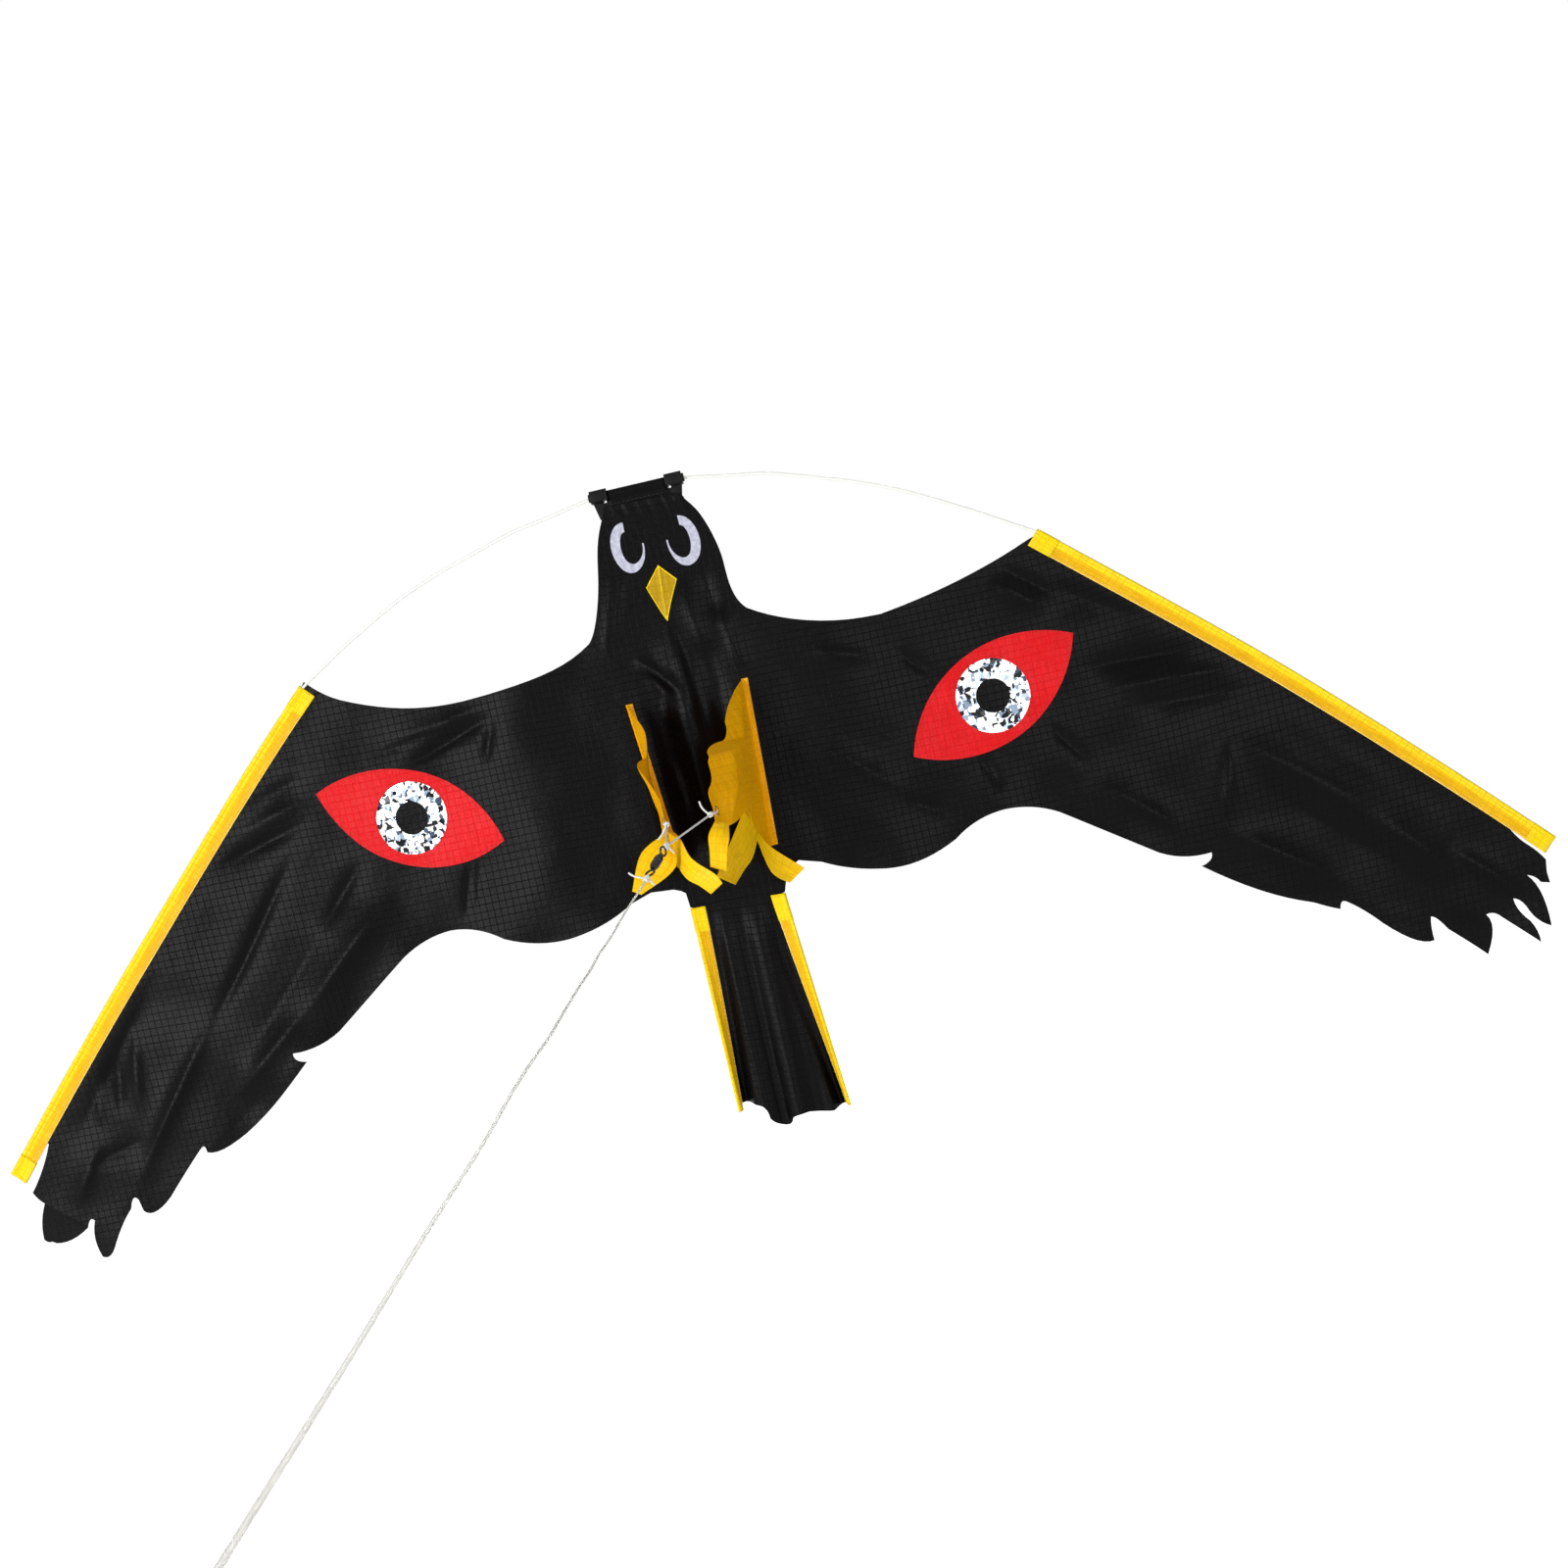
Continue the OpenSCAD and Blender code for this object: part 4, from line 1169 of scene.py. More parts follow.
def glass_fibre():
    """Pultruded glass fibre: milky white resin with fine strands along the rod"""
    material, tree = new_material("pultruded_glass_fibre")
    along = add(tree, "ShaderNodeMapping", {"Vector": pattern(tree), "Scale": (26.0, 40.0, 1.0)})
    strands = noise(tree, along.outputs["Vector"], scale=1.0, detail=4.0)
    base = mixed(tree, strands, linear("#e8e8e0"), linear("#fcfcf8"))
    bump = bumped(tree, strands, strength=0.15, distance=0.0002)
    shade(tree, Base_Color=base, Roughness=0.32, Specular_IOR_Level=0.5, Normal=bump)
    return material


def sewing_thread(name, colour, pale):
    """Polyester thread, twisted, in the colour of what it holds"""
    return speckled(name, colour, pale, 0.6, grain=2500.0, bump=0.3)


# Materials made so far
FINISHES = {}


def finish(name):
    """Material of a kind of piece, made once"""
    makers = {
        "sail": charcoal_ripstop,
        "sleeve": sleeve_ripstop,
        "tab": tab_ripstop,
        "keel": keel_ripstop,
        "toe": toe_ripstop,
        "beak": beak_ripstop,
        "eye": eye_ripstop,
        "foil": shard_foil,
        "mark": bead_film,
        "cord": lambda: braided_cord("braided_polyester", 0.0),
        "line": lambda: braided_cord("clear_nylon_line", 0.74),
        "rod": glass_fibre,
        "thread": lambda: sewing_thread("yellow_thread", "#e8c230", "#ffe98a"),
        "black_thread": lambda: sewing_thread("black_thread", "#161518", "#2a282c"),
        "red_thread": lambda: sewing_thread("red_thread", "#a80f14", "#d8383c"),
        "plastic": lambda: speckled("moulded_nylon", "#070708", "#0f0f10", 0.46, shine=0.12),
        "swivel": lambda: speckled("black_nickel", "#2b2a2c", "#4a484a", 0.24, metallic=1.0, bump=0.05),
        "brass": lambda: speckled("rolled_brass", "#a9803a", "#d2ac5e", 0.3, metallic=1.0, bump=0.06),
    }
    if name not in FINISHES:
        FINISHES[name] = makers[name]()
    return FINISHES[name]


# Camera, light and floor

# The camera stands about 1.45 m in front of the kite, a little right of it, and is rolled
CAMERA_AT = (152.7, -1446.3, -20.3)
CAMERA_TURN = math.radians(3.589)
CAMERA_DIP = math.radians(2.0)
CAMERA_ROLL = math.radians(-12.741)
CAMERA_LENS = 42.315
SENSOR = 36.0

# Place and size of each lamp, in metres: wide and far off, so that they pick out the cloth's folds softly
LAMPS = {
    "key": ((-3.3, -3.5, 0.3), (2.4, 1.8)),
    "fill": ((2.0, -3.8, 0.35), (2.8, 1.3)),
    "back": ((0.4, 4.2, 1.6), (1.4, 1.4)),
}

# Half the floor's width, in metres, and a glow that makes it as white as the backdrop
FLOOR_REACH = 6.0
FLOOR_GLOW = 0.78


class KITE_OT_stage(bpy.types.Operator):
    """Camera, lights, floor and backdrop"""

    bl_idname = "kite.stage"
    bl_label = "Stage"

    def camera(self):
        """Camera at the photo's place"""
        back = Vector((
            math.sin(CAMERA_TURN) * math.cos(CAMERA_DIP),
            -math.cos(CAMERA_TURN) * math.cos(CAMERA_DIP),
            math.sin(CAMERA_DIP),
        ))
        level = (-back).cross(Vector((0, 0, 1))).normalized()
        upright = level.cross(-back)
        right = math.cos(CAMERA_ROLL) * level + math.sin(CAMERA_ROLL) * upright
        up = -math.sin(CAMERA_ROLL) * level + math.cos(CAMERA_ROLL) * upright
        data = bpy.data.cameras.new("camera")
        data.sensor_width = SENSOR
        data.lens = CAMERA_LENS
        camera = bpy.data.objects.new("camera", data)
        turned = Matrix((right, up, back)).transposed().to_4x4()
        camera.matrix_world = Matrix.Translation(place(CAMERA_AT)) @ turned
        bpy.context.scene.collection.objects.link(camera)
        bpy.context.scene.camera = camera

    def lamp(self, name, aim, power):
        """One of the lamps, turned towards a point"""
        at, size = LAMPS[name]
        data = bpy.data.lights.new(name, "AREA")
        data.energy = power
        data.shape = "RECTANGLE"
        data.size, data.size_y = size
        lamp = bpy.data.objects.new(name, data)
        way = Vector(aim) - Vector(at)
        lamp.matrix_world = Matrix.Translation(at) @ way.to_track_quat("-Z", "Y").to_matrix().to_4x4()
        bpy.context.scene.collection.objects.link(lamp)

    def white_seen(self, tree):
        """1 for rays from the camera, and for mirrored and refracted ones"""
        path = add(tree, "ShaderNodeLightPath")
        seen = path.outputs["Is Camera Ray"]
        for kind in ("Is Glossy Ray", "Is Transmission Ray"):
            seen = maths(tree, "MAXIMUM", seen, path.outputs[kind])
        return seen

    def floor(self, settings):
        """White floor below the kite"""
        low = CAD_BOX[0][2] - settings.floor_drop
        corners = [(x * FLOOR_REACH, y * FLOOR_REACH, low) for x, y in ((-1, -1), (1, -1), (1, 1), (-1, 1))]
        material, tree = new_material("pale_floor")
        grain = add(tree, "ShaderNodeTexNoise", {"Scale": 3.0, "Detail": 2.0})
        tone = mapped(tree, grain.outputs["Fac"], (0.0, 1.0), (0.86, 0.9))
        matt = add(tree, "ShaderNodeBsdfDiffuse", {"Color": tone})
        glow = add(tree, "ShaderNodeEmission", {"Color": (1, 1, 1, 1), "Strength": FLOOR_GLOW})
        lit = add(tree, "ShaderNodeAddShader", {0: matt.outputs["BSDF"], 1: glow.outputs["Emission"]})
        seen = add(tree, "ShaderNodeMixShader", {"Fac": self.white_seen(tree), 1: matt.outputs["BSDF"],
                                                 2: lit.outputs["Shader"]})
        add(tree, "ShaderNodeOutputMaterial", {"Surface": seen.outputs["Shader"]})
        new_piece("floor", corners, [(0, 1, 2, 3)], material)

    def sky(self, settings):
        """White backdrop with an even light"""
        world = bpy.data.worlds.new("studio")
        world.use_nodes = True
        tree = world.node_tree
        tree.nodes.clear()
        even = add(tree, "ShaderNodeBackground", {"Color": (0.97, 0.985, 1.0, 1), "Strength": settings.sky})
        white = add(tree, "ShaderNodeBackground", {"Color": (1, 1, 1, 1), "Strength": 1.0})
        seen = add(tree, "ShaderNodeMixShader", {"Fac": self.white_seen(tree), 1: even.outputs["Background"],
                                                 2: white.outputs["Background"]})
        add(tree, "ShaderNodeOutputWorld", {"Surface": seen.outputs["Shader"]})
        bpy.context.scene.world = world

    def execute(self, context):
        settings = context.scene.kite_stage
        context.scene.view_settings.view_transform = "Standard"
        self.camera()
        middle = tuple(place((0, 0, -40)))
        self.lamp("key", middle, settings.key)
        self.lamp("fill", middle, settings.fill)
        self.lamp("back", middle, settings.back)
        self.floor(settings)
        self.sky(settings)
        return {"FINISHED"}


# Bridle, swivel and line

# Distance of the line's knot from the tow point
LINE_KNOT = 36.0
# Route of the line from its knot on the swivel, counted from the tow point
LINE_ROUTE = [
    tuple(LINE_KNOT * SWIVEL_DIR), (-20, -40, -24), (-26, -59, -31), (-30, -80, -37), (-34, -111, -44),
    (-36, -146, -48), (-36, -185, -52), (-35, -230, -54), (-32, -280, -55), (-27, -340, -55),
    (-20, -410, -54), (-12, -489, -51), (-2, -579, -48), (10, -678, -45), (21, -787, -42),
    (32, -897, -40), (41, -1000, -39), (43, -1020, -39),
]
# Length and width of the loop at the line's end
END_LOOP = (30.0, 14.0)


def keel_base(side, u, z):
    """Point of a keel's flat plate, u out from its seam"""
    lean = KEEL_LEAN[side]
    return np.array([side * (KEEL_X - u * math.sin(lean)), -u * math.cos(lean), z])


def wraps(at, axis, turns=3, radius=1.45):
    """Path of a cord wound round an axis in a barrel knot, in metres"""
    axis = np.array(axis, float) / np.linalg.norm(axis)
    across = np.cross(axis, [0.3, 0.2, 1.0])
    across /= np.linalg.norm(across)
    up = np.cross(axis, across)
    steps = np.linspace(0, 1, 14 * turns)
    angle = steps * turns * 2 * math.pi
    along = (steps - 0.5) * turns * 1.75 * CORD_R
    bulge = radius * (0.82 + 0.18 * np.sin(math.pi * steps))
    ring = np.outer(np.cos(angle) * bulge, across) + np.outer(np.sin(angle) * bulge, up)
    return (np.asarray(at) + ring + np.outer(along, axis)) / 1000


def loose_end(at, points):
    """Path of a knot's short end, in metres"""
    return through([np.array(at) + np.array(p) for p in points], 5) / 1000


class KITE_OT_line(bpy.types.Operator):
    """Flying line with its knots and end loop"""

    bl_idname = "kite.line"
    bl_label = "Flying line"

    def execute(self, context):
        radius = context.scene.kite_cord.diameter / 2
        path = through(LINE_ROUTE, 8) / 1000
        line = round_piece("flying_line", tube(path, radius, sides=12), finish("line"))
        on_body(line, "bridle", "white_cord", "kite_line")

        at = (LINE_KNOT - 0.6) * SWIVEL_DIR
        knot = joined([
            tube(wraps(at, SWIVEL_DIR, turns=4), radius),
            tube(loose_end(at, [(0, 0, 0), (-3, -1.5, 1.5), (-7.5, -2, 3.5), (-11, -1, 6.5)]), radius),
            tube(loose_end(at, [(0, 0, 0), (2.2, 0.5, -2.2), (4.4, 0, -5.6)]), radius),
        ])
        line_knot = round_piece("line_knot_wraps", knot, finish("cord"))
        on_body(line_knot, "bridle", "white_cord", "line_knot")

        end = np.array(LINE_ROUTE[-1], float)
        way = end - np.array(LINE_ROUTE[-2], float)
        way /= np.linalg.norm(way)
        aside = np.cross(way, [0, 0, 1.0])
        length, width = END_LOOP
        turn = np.linspace(0, 2 * math.pi, 40, endpoint=False)
        stretch = (length - width) / 2
        loop = [
            end + way * (length / 2 - 0.4 + width / 2 * math.cos(a) + stretch * math.tanh(3 * math.cos(a)))
            + aside * width / 2 * math.sin(a) for a in turn
        ]
        bits = joined([
            tube(wraps(end, way, turns=4), radius),
            tube(loose_end(end, [(0, 0, 0), (1.5, -3, 2), (2, -8, 4)]), radius),
        ])
        end_knot = round_piece("end_knot_wraps", bits, finish("cord"))
        on_body(end_knot, "bridle", "white_cord", "line_end_knot")
        ring = tube(np.array(loop) / 1000, radius, closed=True)
        end_loop = round_piece("end_loop", ring, finish("cord"))
        on_body(end_loop, "bridle", "white_cord", "line_end_loop")

        return {"FINISHED"}


class KITE_OT_bridle(bpy.types.Operator):
    """Ties, legs, knots and swivel of the bridle"""

    bl_idname = "kite.bridle"
    bl_label = "Bridle and swivel"

    def execute(self, context):
        radius = context.scene.kite_cord.diameter / 2
        knots = []
        for word, side in SIDES.items():
            at = keel_base(side, *TIE_KNOT) + SAIL_ORIGIN
            way = -at / np.linalg.norm(at)
            eye = keel_base(side, *EYELET) + SAIL_ORIGIN
            out = (at - eye) / np.linalg.norm(at - eye)
            normal = np.array([side * math.cos(KEEL_LEAN[side]), -math.sin(KEEL_LEAN[side]), 0])
            turn = np.linspace(0, 2 * math.pi, 32, endpoint=False)
            half = np.linalg.norm(at - eye) / 2
            loop = [eye + out * (half - half * math.cos(a)) + normal * 1.8 * math.sin(a) for a in turn]
            ring = tube(np.array(loop) / 1000, radius, closed=True)
            tie = round_piece(word + "_tie", ring, finish("cord"))
            on_body(tie, "kite_body", "white_cord", word + "_bridle_tie")
            knots.append(tube(wraps(at, way), radius))
            if side > 0:
                tail = [(0, 0, 0), (-2.5, -1, 2.5), (-5, -1, 6.5), (-6, 0, 11)]
            else:
                tail = [(0, 0, 0), (-2, -1, -2.5), (-4.5, -1.5, -6), (-8.5, -2, -9.5)]
            knots.append(tube(loose_end(at, tail), radius))
            leg_path = np.linspace(at * 0.985, at * 0.0, 24) / 1000
            leg = round_piece(word + "_leg", tube(leg_path, radius), finish("cord"))
            on_body(leg, "bridle", "white_cord", word + "_bridle_leg")
        pair = round_piece("tie_knot_wraps", joined(knots), finish("cord"))
        on_body(pair, "kite_body", "white_cord", "tie_knots")
        bits = joined([
            tube(wraps((0, 0, 0), SWIVEL_DIR, turns=4, radius=1.6), radius),
            tube(loose_end((0, 0, 0), [(0, 0, 0), (2.5, -1, -2), (4.5, -2, -5.5)]), radius),
        ])
        tow = round_piece("tow_knot_wraps", bits, finish("cord"))
        on_body(tow, "bridle", "white_cord", "tow_knot")
        swivel = {"swivel_upper_eye": "bridle", "swivel_lower_eye": "bridle", "swivel_barrel": "swivel"}
        for node, body in swivel.items():
            part = dressed_copy(node, node + "_metal", finish("swivel"), bevel=0.00012)
            on_body(part, body, "swivel_black", node)
        return {"FINISHED"}


# Cloth


def declare_sheet(flat, with_pieces=(), folded=1.0):
    """Works out a piece's flat width and length, the width times folded, how much wider it is than its
    outline, and keeps neither
    """
    width, length = np.ptp(flat[0], axis=0) / 1000
    width = width * folded


class KITE_OT_sail(bpy.types.Operator):
    """Body and wings of the sail"""

    bl_idname = "kite.sail"
    bl_label = "Sail"

    def execute(self, context):
        thickness = cloth_thickness()
        inner = clipped(half_outline(1) + [(0, HEM_Z)], BODY_HALF, -1)
        right = [p for p in inner if p[0] > 0]
        left = [(-p[0], p[1]) for p in right][::-1]
        corner = [(TAIL_ROOT[-1], TAIL_Z), (-36, TAIL_Z + 2.5), (-42, TAIL_Z + 5)]
        body = [*right, (TAIL_ROOT[1], TAIL_Z), *corner, *left]
        flat = filled(body, step=2.2)
        obj = cloth_piece("body_sail", flat, sail, finish("sail"), thickness)
        on_body(obj, "kite_body", "ripstop_black", "body_panel")
        declare_sheet(flat)
        for word, side in SIDES.items():
            wing = clipped(half_outline(side) + [(0, HEM_Z)], BODY_HALF, 1)
            flat = filled(mirrored(wing, side), step=2.5)
            obj = cloth_piece(word + "_wing_sail", flat, wing_surface(side), finish("sail"), thickness)
            across_wing(obj, side, "ripstop_black", word + "_wing_panel")
            declare_sheet(flat)
        return {"FINISHED"}


def hem_profile(rod_r, width, lift=0.0):
    """Closed section of a hem folded round a rod: distance behind its edge and depth, front flap first"""
    r = rod_r + HEM_FOLD + lift
    centre = rod_r + HEM_FOLD
    wall = 0.3
    flap = 0.5 + lift
    arc = np.radians(np.arange(-55, -306, -25))
    outer = [(width, -flap), (width - 1, -flap), ((width + 2 * r) / 2, -flap), (2 * r + 1.5, -flap)]
    outer += [(centre + r * math.cos(a), r * math.sin(a)) for a in arc]
    outer += [(2 * r + 1.5, flap), ((width + 2 * r) / 2, flap), (width - 1, flap), (width, flap)]
    inner = [(width, flap - wall), (2 * r + 1.5, flap - wall)]
    inner += [(centre + (r - wall) * math.cos(a), (r - wall) * math.sin(a)) for a in arc[::-1]]
    inner += [(2 * r + 1.5, wall - flap), (width, wall - flap)]
    return np.array(outer + inner)


# How far a stitch stands off the middle of its hem, on the front and on the back, and one on a tab
STITCH_DEPTHS = (-0.6, 0.6)
TAB_STITCH_DEPTHS = (-0.95, 0.95)


def folded_hem(name, profile, length, lay, material, step=4.0, pucker=0.12):
    """Sweeps a hem's section along a rod; lay puts distances along, behind and depths in the sail's frame"""
    count = max(2, math.ceil(length / step)) + 1
    n = len(profile)
    verts, faces, uv = [], [], []
    around = np.concatenate([[0], np.cumsum(np.linalg.norm(np.diff(profile, axis=0), axis=1))])
    stations = np.linspace(0, length, count)
    for t in stations:
        depth = profile[:, 1] * (1 + pucker * np.sin(t * 0.9 + profile[:, 0]) * (profile[:, 0] > 6))
        verts.append(lay(np.full(n, t), profile[:, 0], depth))
    for i in range(count - 1):
        for k in range(n):
            m = (k + 1) % n
            faces.append((i * n + k, i * n + m, (i + 1) * n + m, (i + 1) * n + k))
            last = around[k + 1] if k + 1 < n else around[k] + 0.5
            start, end = stations[i], stations[i + 1]
            uv += [(around[k], start), (last, start), (last, end), (around[k], end)]
    cap = list(range(n))
    faces += [tuple(cap[::-1]), tuple((count - 1) * n + k for k in cap)]
    uv += [(around[k], 0) for k in cap[::-1]] + [(around[k], length) for k in cap]
    verts = place(np.concatenate(verts))
    obj = new_piece(name, verts, faces, material, np.array(uv) / 1000)
    outward(obj)
    return obj


def outward(obj):
    """Turns a closed mesh's faces outwards"""
    work = bmesh.new()
    work.from_mesh(obj.data)
    bmesh.ops.recalc_face_normals(work, faces=work.faces)
    work.to_mesh(obj.data)
    work.free()


def leading_lay(side, start=0.0):
    """Puts a leading sleeve's distances along, behind its edge and depths into the sail's frame"""

    def lay(t, p, depth):
        along = t + start
        out = p - SPAR_R - HEM_FOLD - spar_shift(side, along)
        flat = SPAR_IN + np.outer(along, ALONG) + np.outer(out, BEHIND)
        middle, behind = swept_back(flat[:, 0])
        x = middle - depth * math.sin(DIHEDRAL)
        y = behind + depth * math.cos(DIHEDRAL)
        return np.column_stack([side * x, y, flat[:, 1] + wing_roll(side, flat[:, 0])])

    return lay


def tab_row(lay, rod_r, width, depth):
    """Seam round the flat part of a tab, just inside its edges"""
    near, far = 2 * (rod_r + HEM_FOLD) + 1.5, width - 1.2
    corners = [(1.5, far), (1.5, near), (TAB_L - 1.5, near), (TAB_L - 1.5, far), (1.5, far)]
    path = np.concatenate([np.linspace(a, b, 8) for a, b in zip(corners, corners[1:])])
    return lay(path[:, 0], path[:, 1], np.full(len(path), depth))


# Route of the right spar from the head bar to its sleeve: distance along the wing and height
SPAR_ROUTE = [(34, 181), (75, 174), (104, 169), (138, 158.5), (170, 147.5), (206, 132), (250, 108), (272, 95)]


class KITE_OT_sleeves(bpy.types.Operator):
    """Leading sleeves, their tabs and the spars in them"""

    bl_idname = "kite.sleeves"
    bl_label = "Leading sleeves and spars"

    def spar(self, word, side):
        """Rod from the head bar along its bow and into the sleeve"""
        route = np.array([(1, BAR_Z), (20, BAR_Z), *SPAR_ROUTE], float)
        if side < 0:
            lifted = spar_shift(-1, 0) - spar_shift(1, 0)
            grow = smooth(route[:, 0], BODY_HALF, SPAR_IN[0])
            route = route + np.outer(grow, -BEHIND * lifted + [0, 2 * ROLL])
        out, behind = swept_back(route[:, 0])
        free = np.column_stack([side * out, behind, route[:, 1]])
        along = np.linspace(8, SLEEVE_L - 2, 16)
        held = leading_lay(side)(along, np.full(16, SPAR_R + HEM_FOLD), np.zeros(16))
        made = tube(place(through(np.concatenate([free, held]), 6)), SPAR_R / 1000, sides=14)
        obj = round_piece(word + "_spar_rod", made, finish("rod"))
        across_wing(obj, side, "glass_fibre", word + "_spar", word + "_spar_root")

    def execute(self, context):
        for word, side in SIDES.items():
            self.spar(word, side)
            sleeve = folded_hem(word + "_sleeve", hem_profile(SPAR_R, SLEEVE_W), SLEEVE_L, leading_lay(side),
                                finish("sleeve"))
            on_body(sleeve, word + "_wing", "ripstop_yellow", word + "_leading_sleeve")
            along = np.linspace(TAB_L, SLEEVE_L - TAB_L, 90)
            for depth in STITCH_DEPTHS:
                row = leading_lay(side)(along, np.full(90, SLEEVE_W - 1.8), np.full(90, depth))
                sew(word + "_wing", "thread", row)
            for where, start in (("inner", TAB_START), ("tip", SLEEVE_L - TAB_L + 0.5)):
                profile = hem_profile(SPAR_R, SLEEVE_W + TAB_WIDER, TAB_LIFT)
                tab = folded_hem(f"{word}_{where}_fold", profile, TAB_L, leading_lay(side, start),
                                 finish("tab"), step=2.5)
                on_body(tab, word + "_wing", "tab_yellow", f"{word}_{where}_tab")
                for depth in TAB_STITCH_DEPTHS:
                    row = tab_row(leading_lay(side, start), SPAR_R, SLEEVE_W, depth)
                    sew(word + "_wing", "thread", row)
        return {"FINISHED"}


# Tail


def tail_edge_x(side, z):
    """x of the tail's outer edge on a side at a height"""
    top, end = TAIL_EDGE[side]
    return top + (end - top) * np.clip((TAIL_TOP - z) / (TAIL_TOP - TAIL_END), 0, None)


# The sleeves turn round their rods towards the tail's end, and grow narrower
TAIL_TURN = math.radians(70)
TAIL_TAPER = 0.5
# x of the tail's pressed crease
TAIL_CREASE_X = 4.5
# How many times as wide as its outline the tail's cloth is, for its folds
TAIL_FOLDED = 1.16


def tail_share(z):
    """How far down the tail a height lies, from 0 at the rods' tops to 1 at their ends"""
    return np.clip((TAIL_TOP - z) / (TAIL_TOP - TAIL_END), 0, 1)


def tail_hang(x, z):
    """Height of a tail point as the tail hangs, lower on its right"""
    t = tail_share(z)
    return z - smooth(z, TAIL_Z + 0.5, -156) * (5 - 3.5 * t + (0.077 + 0.071 * t) * (x - 10))


def tail_sleeve_reach(t, p):
    """Distance from a tail sleeve's rod, as its taper draws it in"""
    inward = p - TAIL_ROD_R - HEM_FOLD
    flat_part = np.clip(inward - TAIL_ROD_R - HEM_FOLD, 0, None)
    return inward - flat_part * TAIL_TAPER * t


def tail(flat):
    """Points of the tail at x and height: a pressed crease, folds beside it, edges turned round the rods"""
    flat = np.asarray(flat, float)
    x, z = flat[:, 0], flat[:, 1]
    t = tail_share(z)
    grow = smooth(z, TAIL_Z, -190) * (0.6 + 0.4 * t)
    off = x - TAIL_CREASE_X
    y = grow * (3 * np.exp(-((off / 4) ** 2)) - 1.2 * np.exp(-np.abs(off) / 0.9))
    y = y - 6 * grow * np.exp(-(((off - 13) / 8) ** 2)) - 4 * grow * np.exp(-(((off + 13) / 7) ** 2))
    y = y + 3 * grow * np.exp(-(((off - 30) / 9) ** 2))
    rod = TAIL_ROD_R + HEM_FOLD
    turn = TAIL_TURN * t
    reach = rod + tail_sleeve_reach(t, TAIL_SLEEVE_W) * np.cos(turn)
    for side in (-1, 1):
        edge = side * (tail_edge_x(side, z) - x)
        held = 1 - smooth(edge, reach, reach + 12)
        y = y * (1 - held) + np.tan(turn) * (edge - rod) * held
    return np.column_stack([x, y, tail_hang(x, z)])


def tail_lay(side, start=0.0):
    """Puts a tail sleeve's distances along, behind its edge and depths into the sail's frame"""

    def lay(t, p, depth):
        z = TAIL_TOP - (t + start)
        share = tail_share(z)
        turn = TAIL_TURN * share
        inward = tail_sleeve_reach(share, p)
        from_edge = TAIL_ROD_R + HEM_FOLD + inward * np.cos(turn) - depth * np.sin(turn)
        x = tail_edge_x(side, z) - side * from_edge
        return np.column_stack([x, inward * np.sin(turn) + depth * np.cos(turn), tail_hang(x, z)])

    return lay


class KITE_OT_tail(bpy.types.Operator):
    """Tail with its sleeves, tabs and rods"""

    bl_idname = "kite.tail"
    bl_label = "Tail"

    def execute(self, context):
        thickness = cloth_thickness()
        low = TAIL_END
        left, right = TAIL_EDGE[-1], TAIL_EDGE[1]
        outline = [
            (TAIL_ROOT[-1], TAIL_Z),
            (left[0], TAIL_TOP + 1),
            (left[0] + 4.2, TAIL_TOP),
            (left[1] + 2.6, low + 6),
            *bow((left[1] + 2.6, low + 6), (-17, low + 6), (-11, low + 4), 5),
            *bow((-11, low + 4), (-7, low + 1), (-7, low - 6), 5),
            *bow((-7, low - 6), (-4, low - 11), (3, low - 13), 6),
            *bow((3, low - 13), (9, low - 14), (11, low - 7), 5),
            *bow((11, low - 7), (14, low - 4), (24, low - 3), 5),
            *bow((24, low - 3), (38, low - 5), (44, low - 4), 5),
            *bow((44, low - 4), (52, low - 1), (right[1] - 2.4, low + 2), 5),
            (right[1] - 2.4, low + 2),
            (right[0] - 4.2, TAIL_TOP),
            (right[0], TAIL_TOP + 1),
            (47, TAIL_Z - 5),
            (TAIL_ROOT[1], TAIL_Z),
        ]
        flat = filled(outline[::-1], step=1.8)
        obj = cloth_piece("tail_sail", flat, tail, finish("sail"), thickness)
        start = tuple(place((0, 0, TAIL_Z + 1)))
        end = tuple(place((0, 0, TAIL_TOP)))
        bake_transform(obj)
        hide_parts("tail_panel")
        declare_sheet(flat, folded=TAIL_FOLDED)
        length = TAIL_TOP - TAIL_END
        for word, side in SIDES.items():
            lay, tab_lay = tail_lay(side), tail_lay(side, TAB_START)
            sleeve = folded_hem(word + "_tail_hem", hem_profile(TAIL_ROD_R, TAIL_SLEEVE_W), length, lay,
                                finish("sleeve"))
            on_body(sleeve, "tail", "ripstop_yellow", word + "_tail_sleeve")
            profile = hem_profile(TAIL_ROD_R, TAIL_SLEEVE_W + TAB_WIDER, TAB_LIFT)
            tab = folded_hem(word + "_tail_fold", profile, TAB_L, tab_lay, finish("tab"), step=2.5)
            on_body(tab, "tail", "tab_yellow", word + "_tail_tab")
            along = np.linspace(TAB_L, length - 1, 60)
            for depth in STITCH_DEPTHS:
                sew("tail", "thread", lay(along, np.full(60, TAIL_SLEEVE_W - 1.5), np.full(60, depth)))
                sew("tail", "thread", tab_row(tab_lay, TAIL_ROD_R, TAIL_SLEEVE_W, 1.6 * depth))
            way = lay(np.linspace(1, length - 1, 30), np.full(30, TAIL_ROD_R + HEM_FOLD), np.zeros(30))
            made = tube(place(way), TAIL_ROD_R / 1000, sides=12)
            rod = round_piece(word + "_tail_stick", made, finish("rod"))
            on_body(rod, "tail", "glass_fibre", word + "_tail_rod")
        return {"FINISHED"}


# Keels


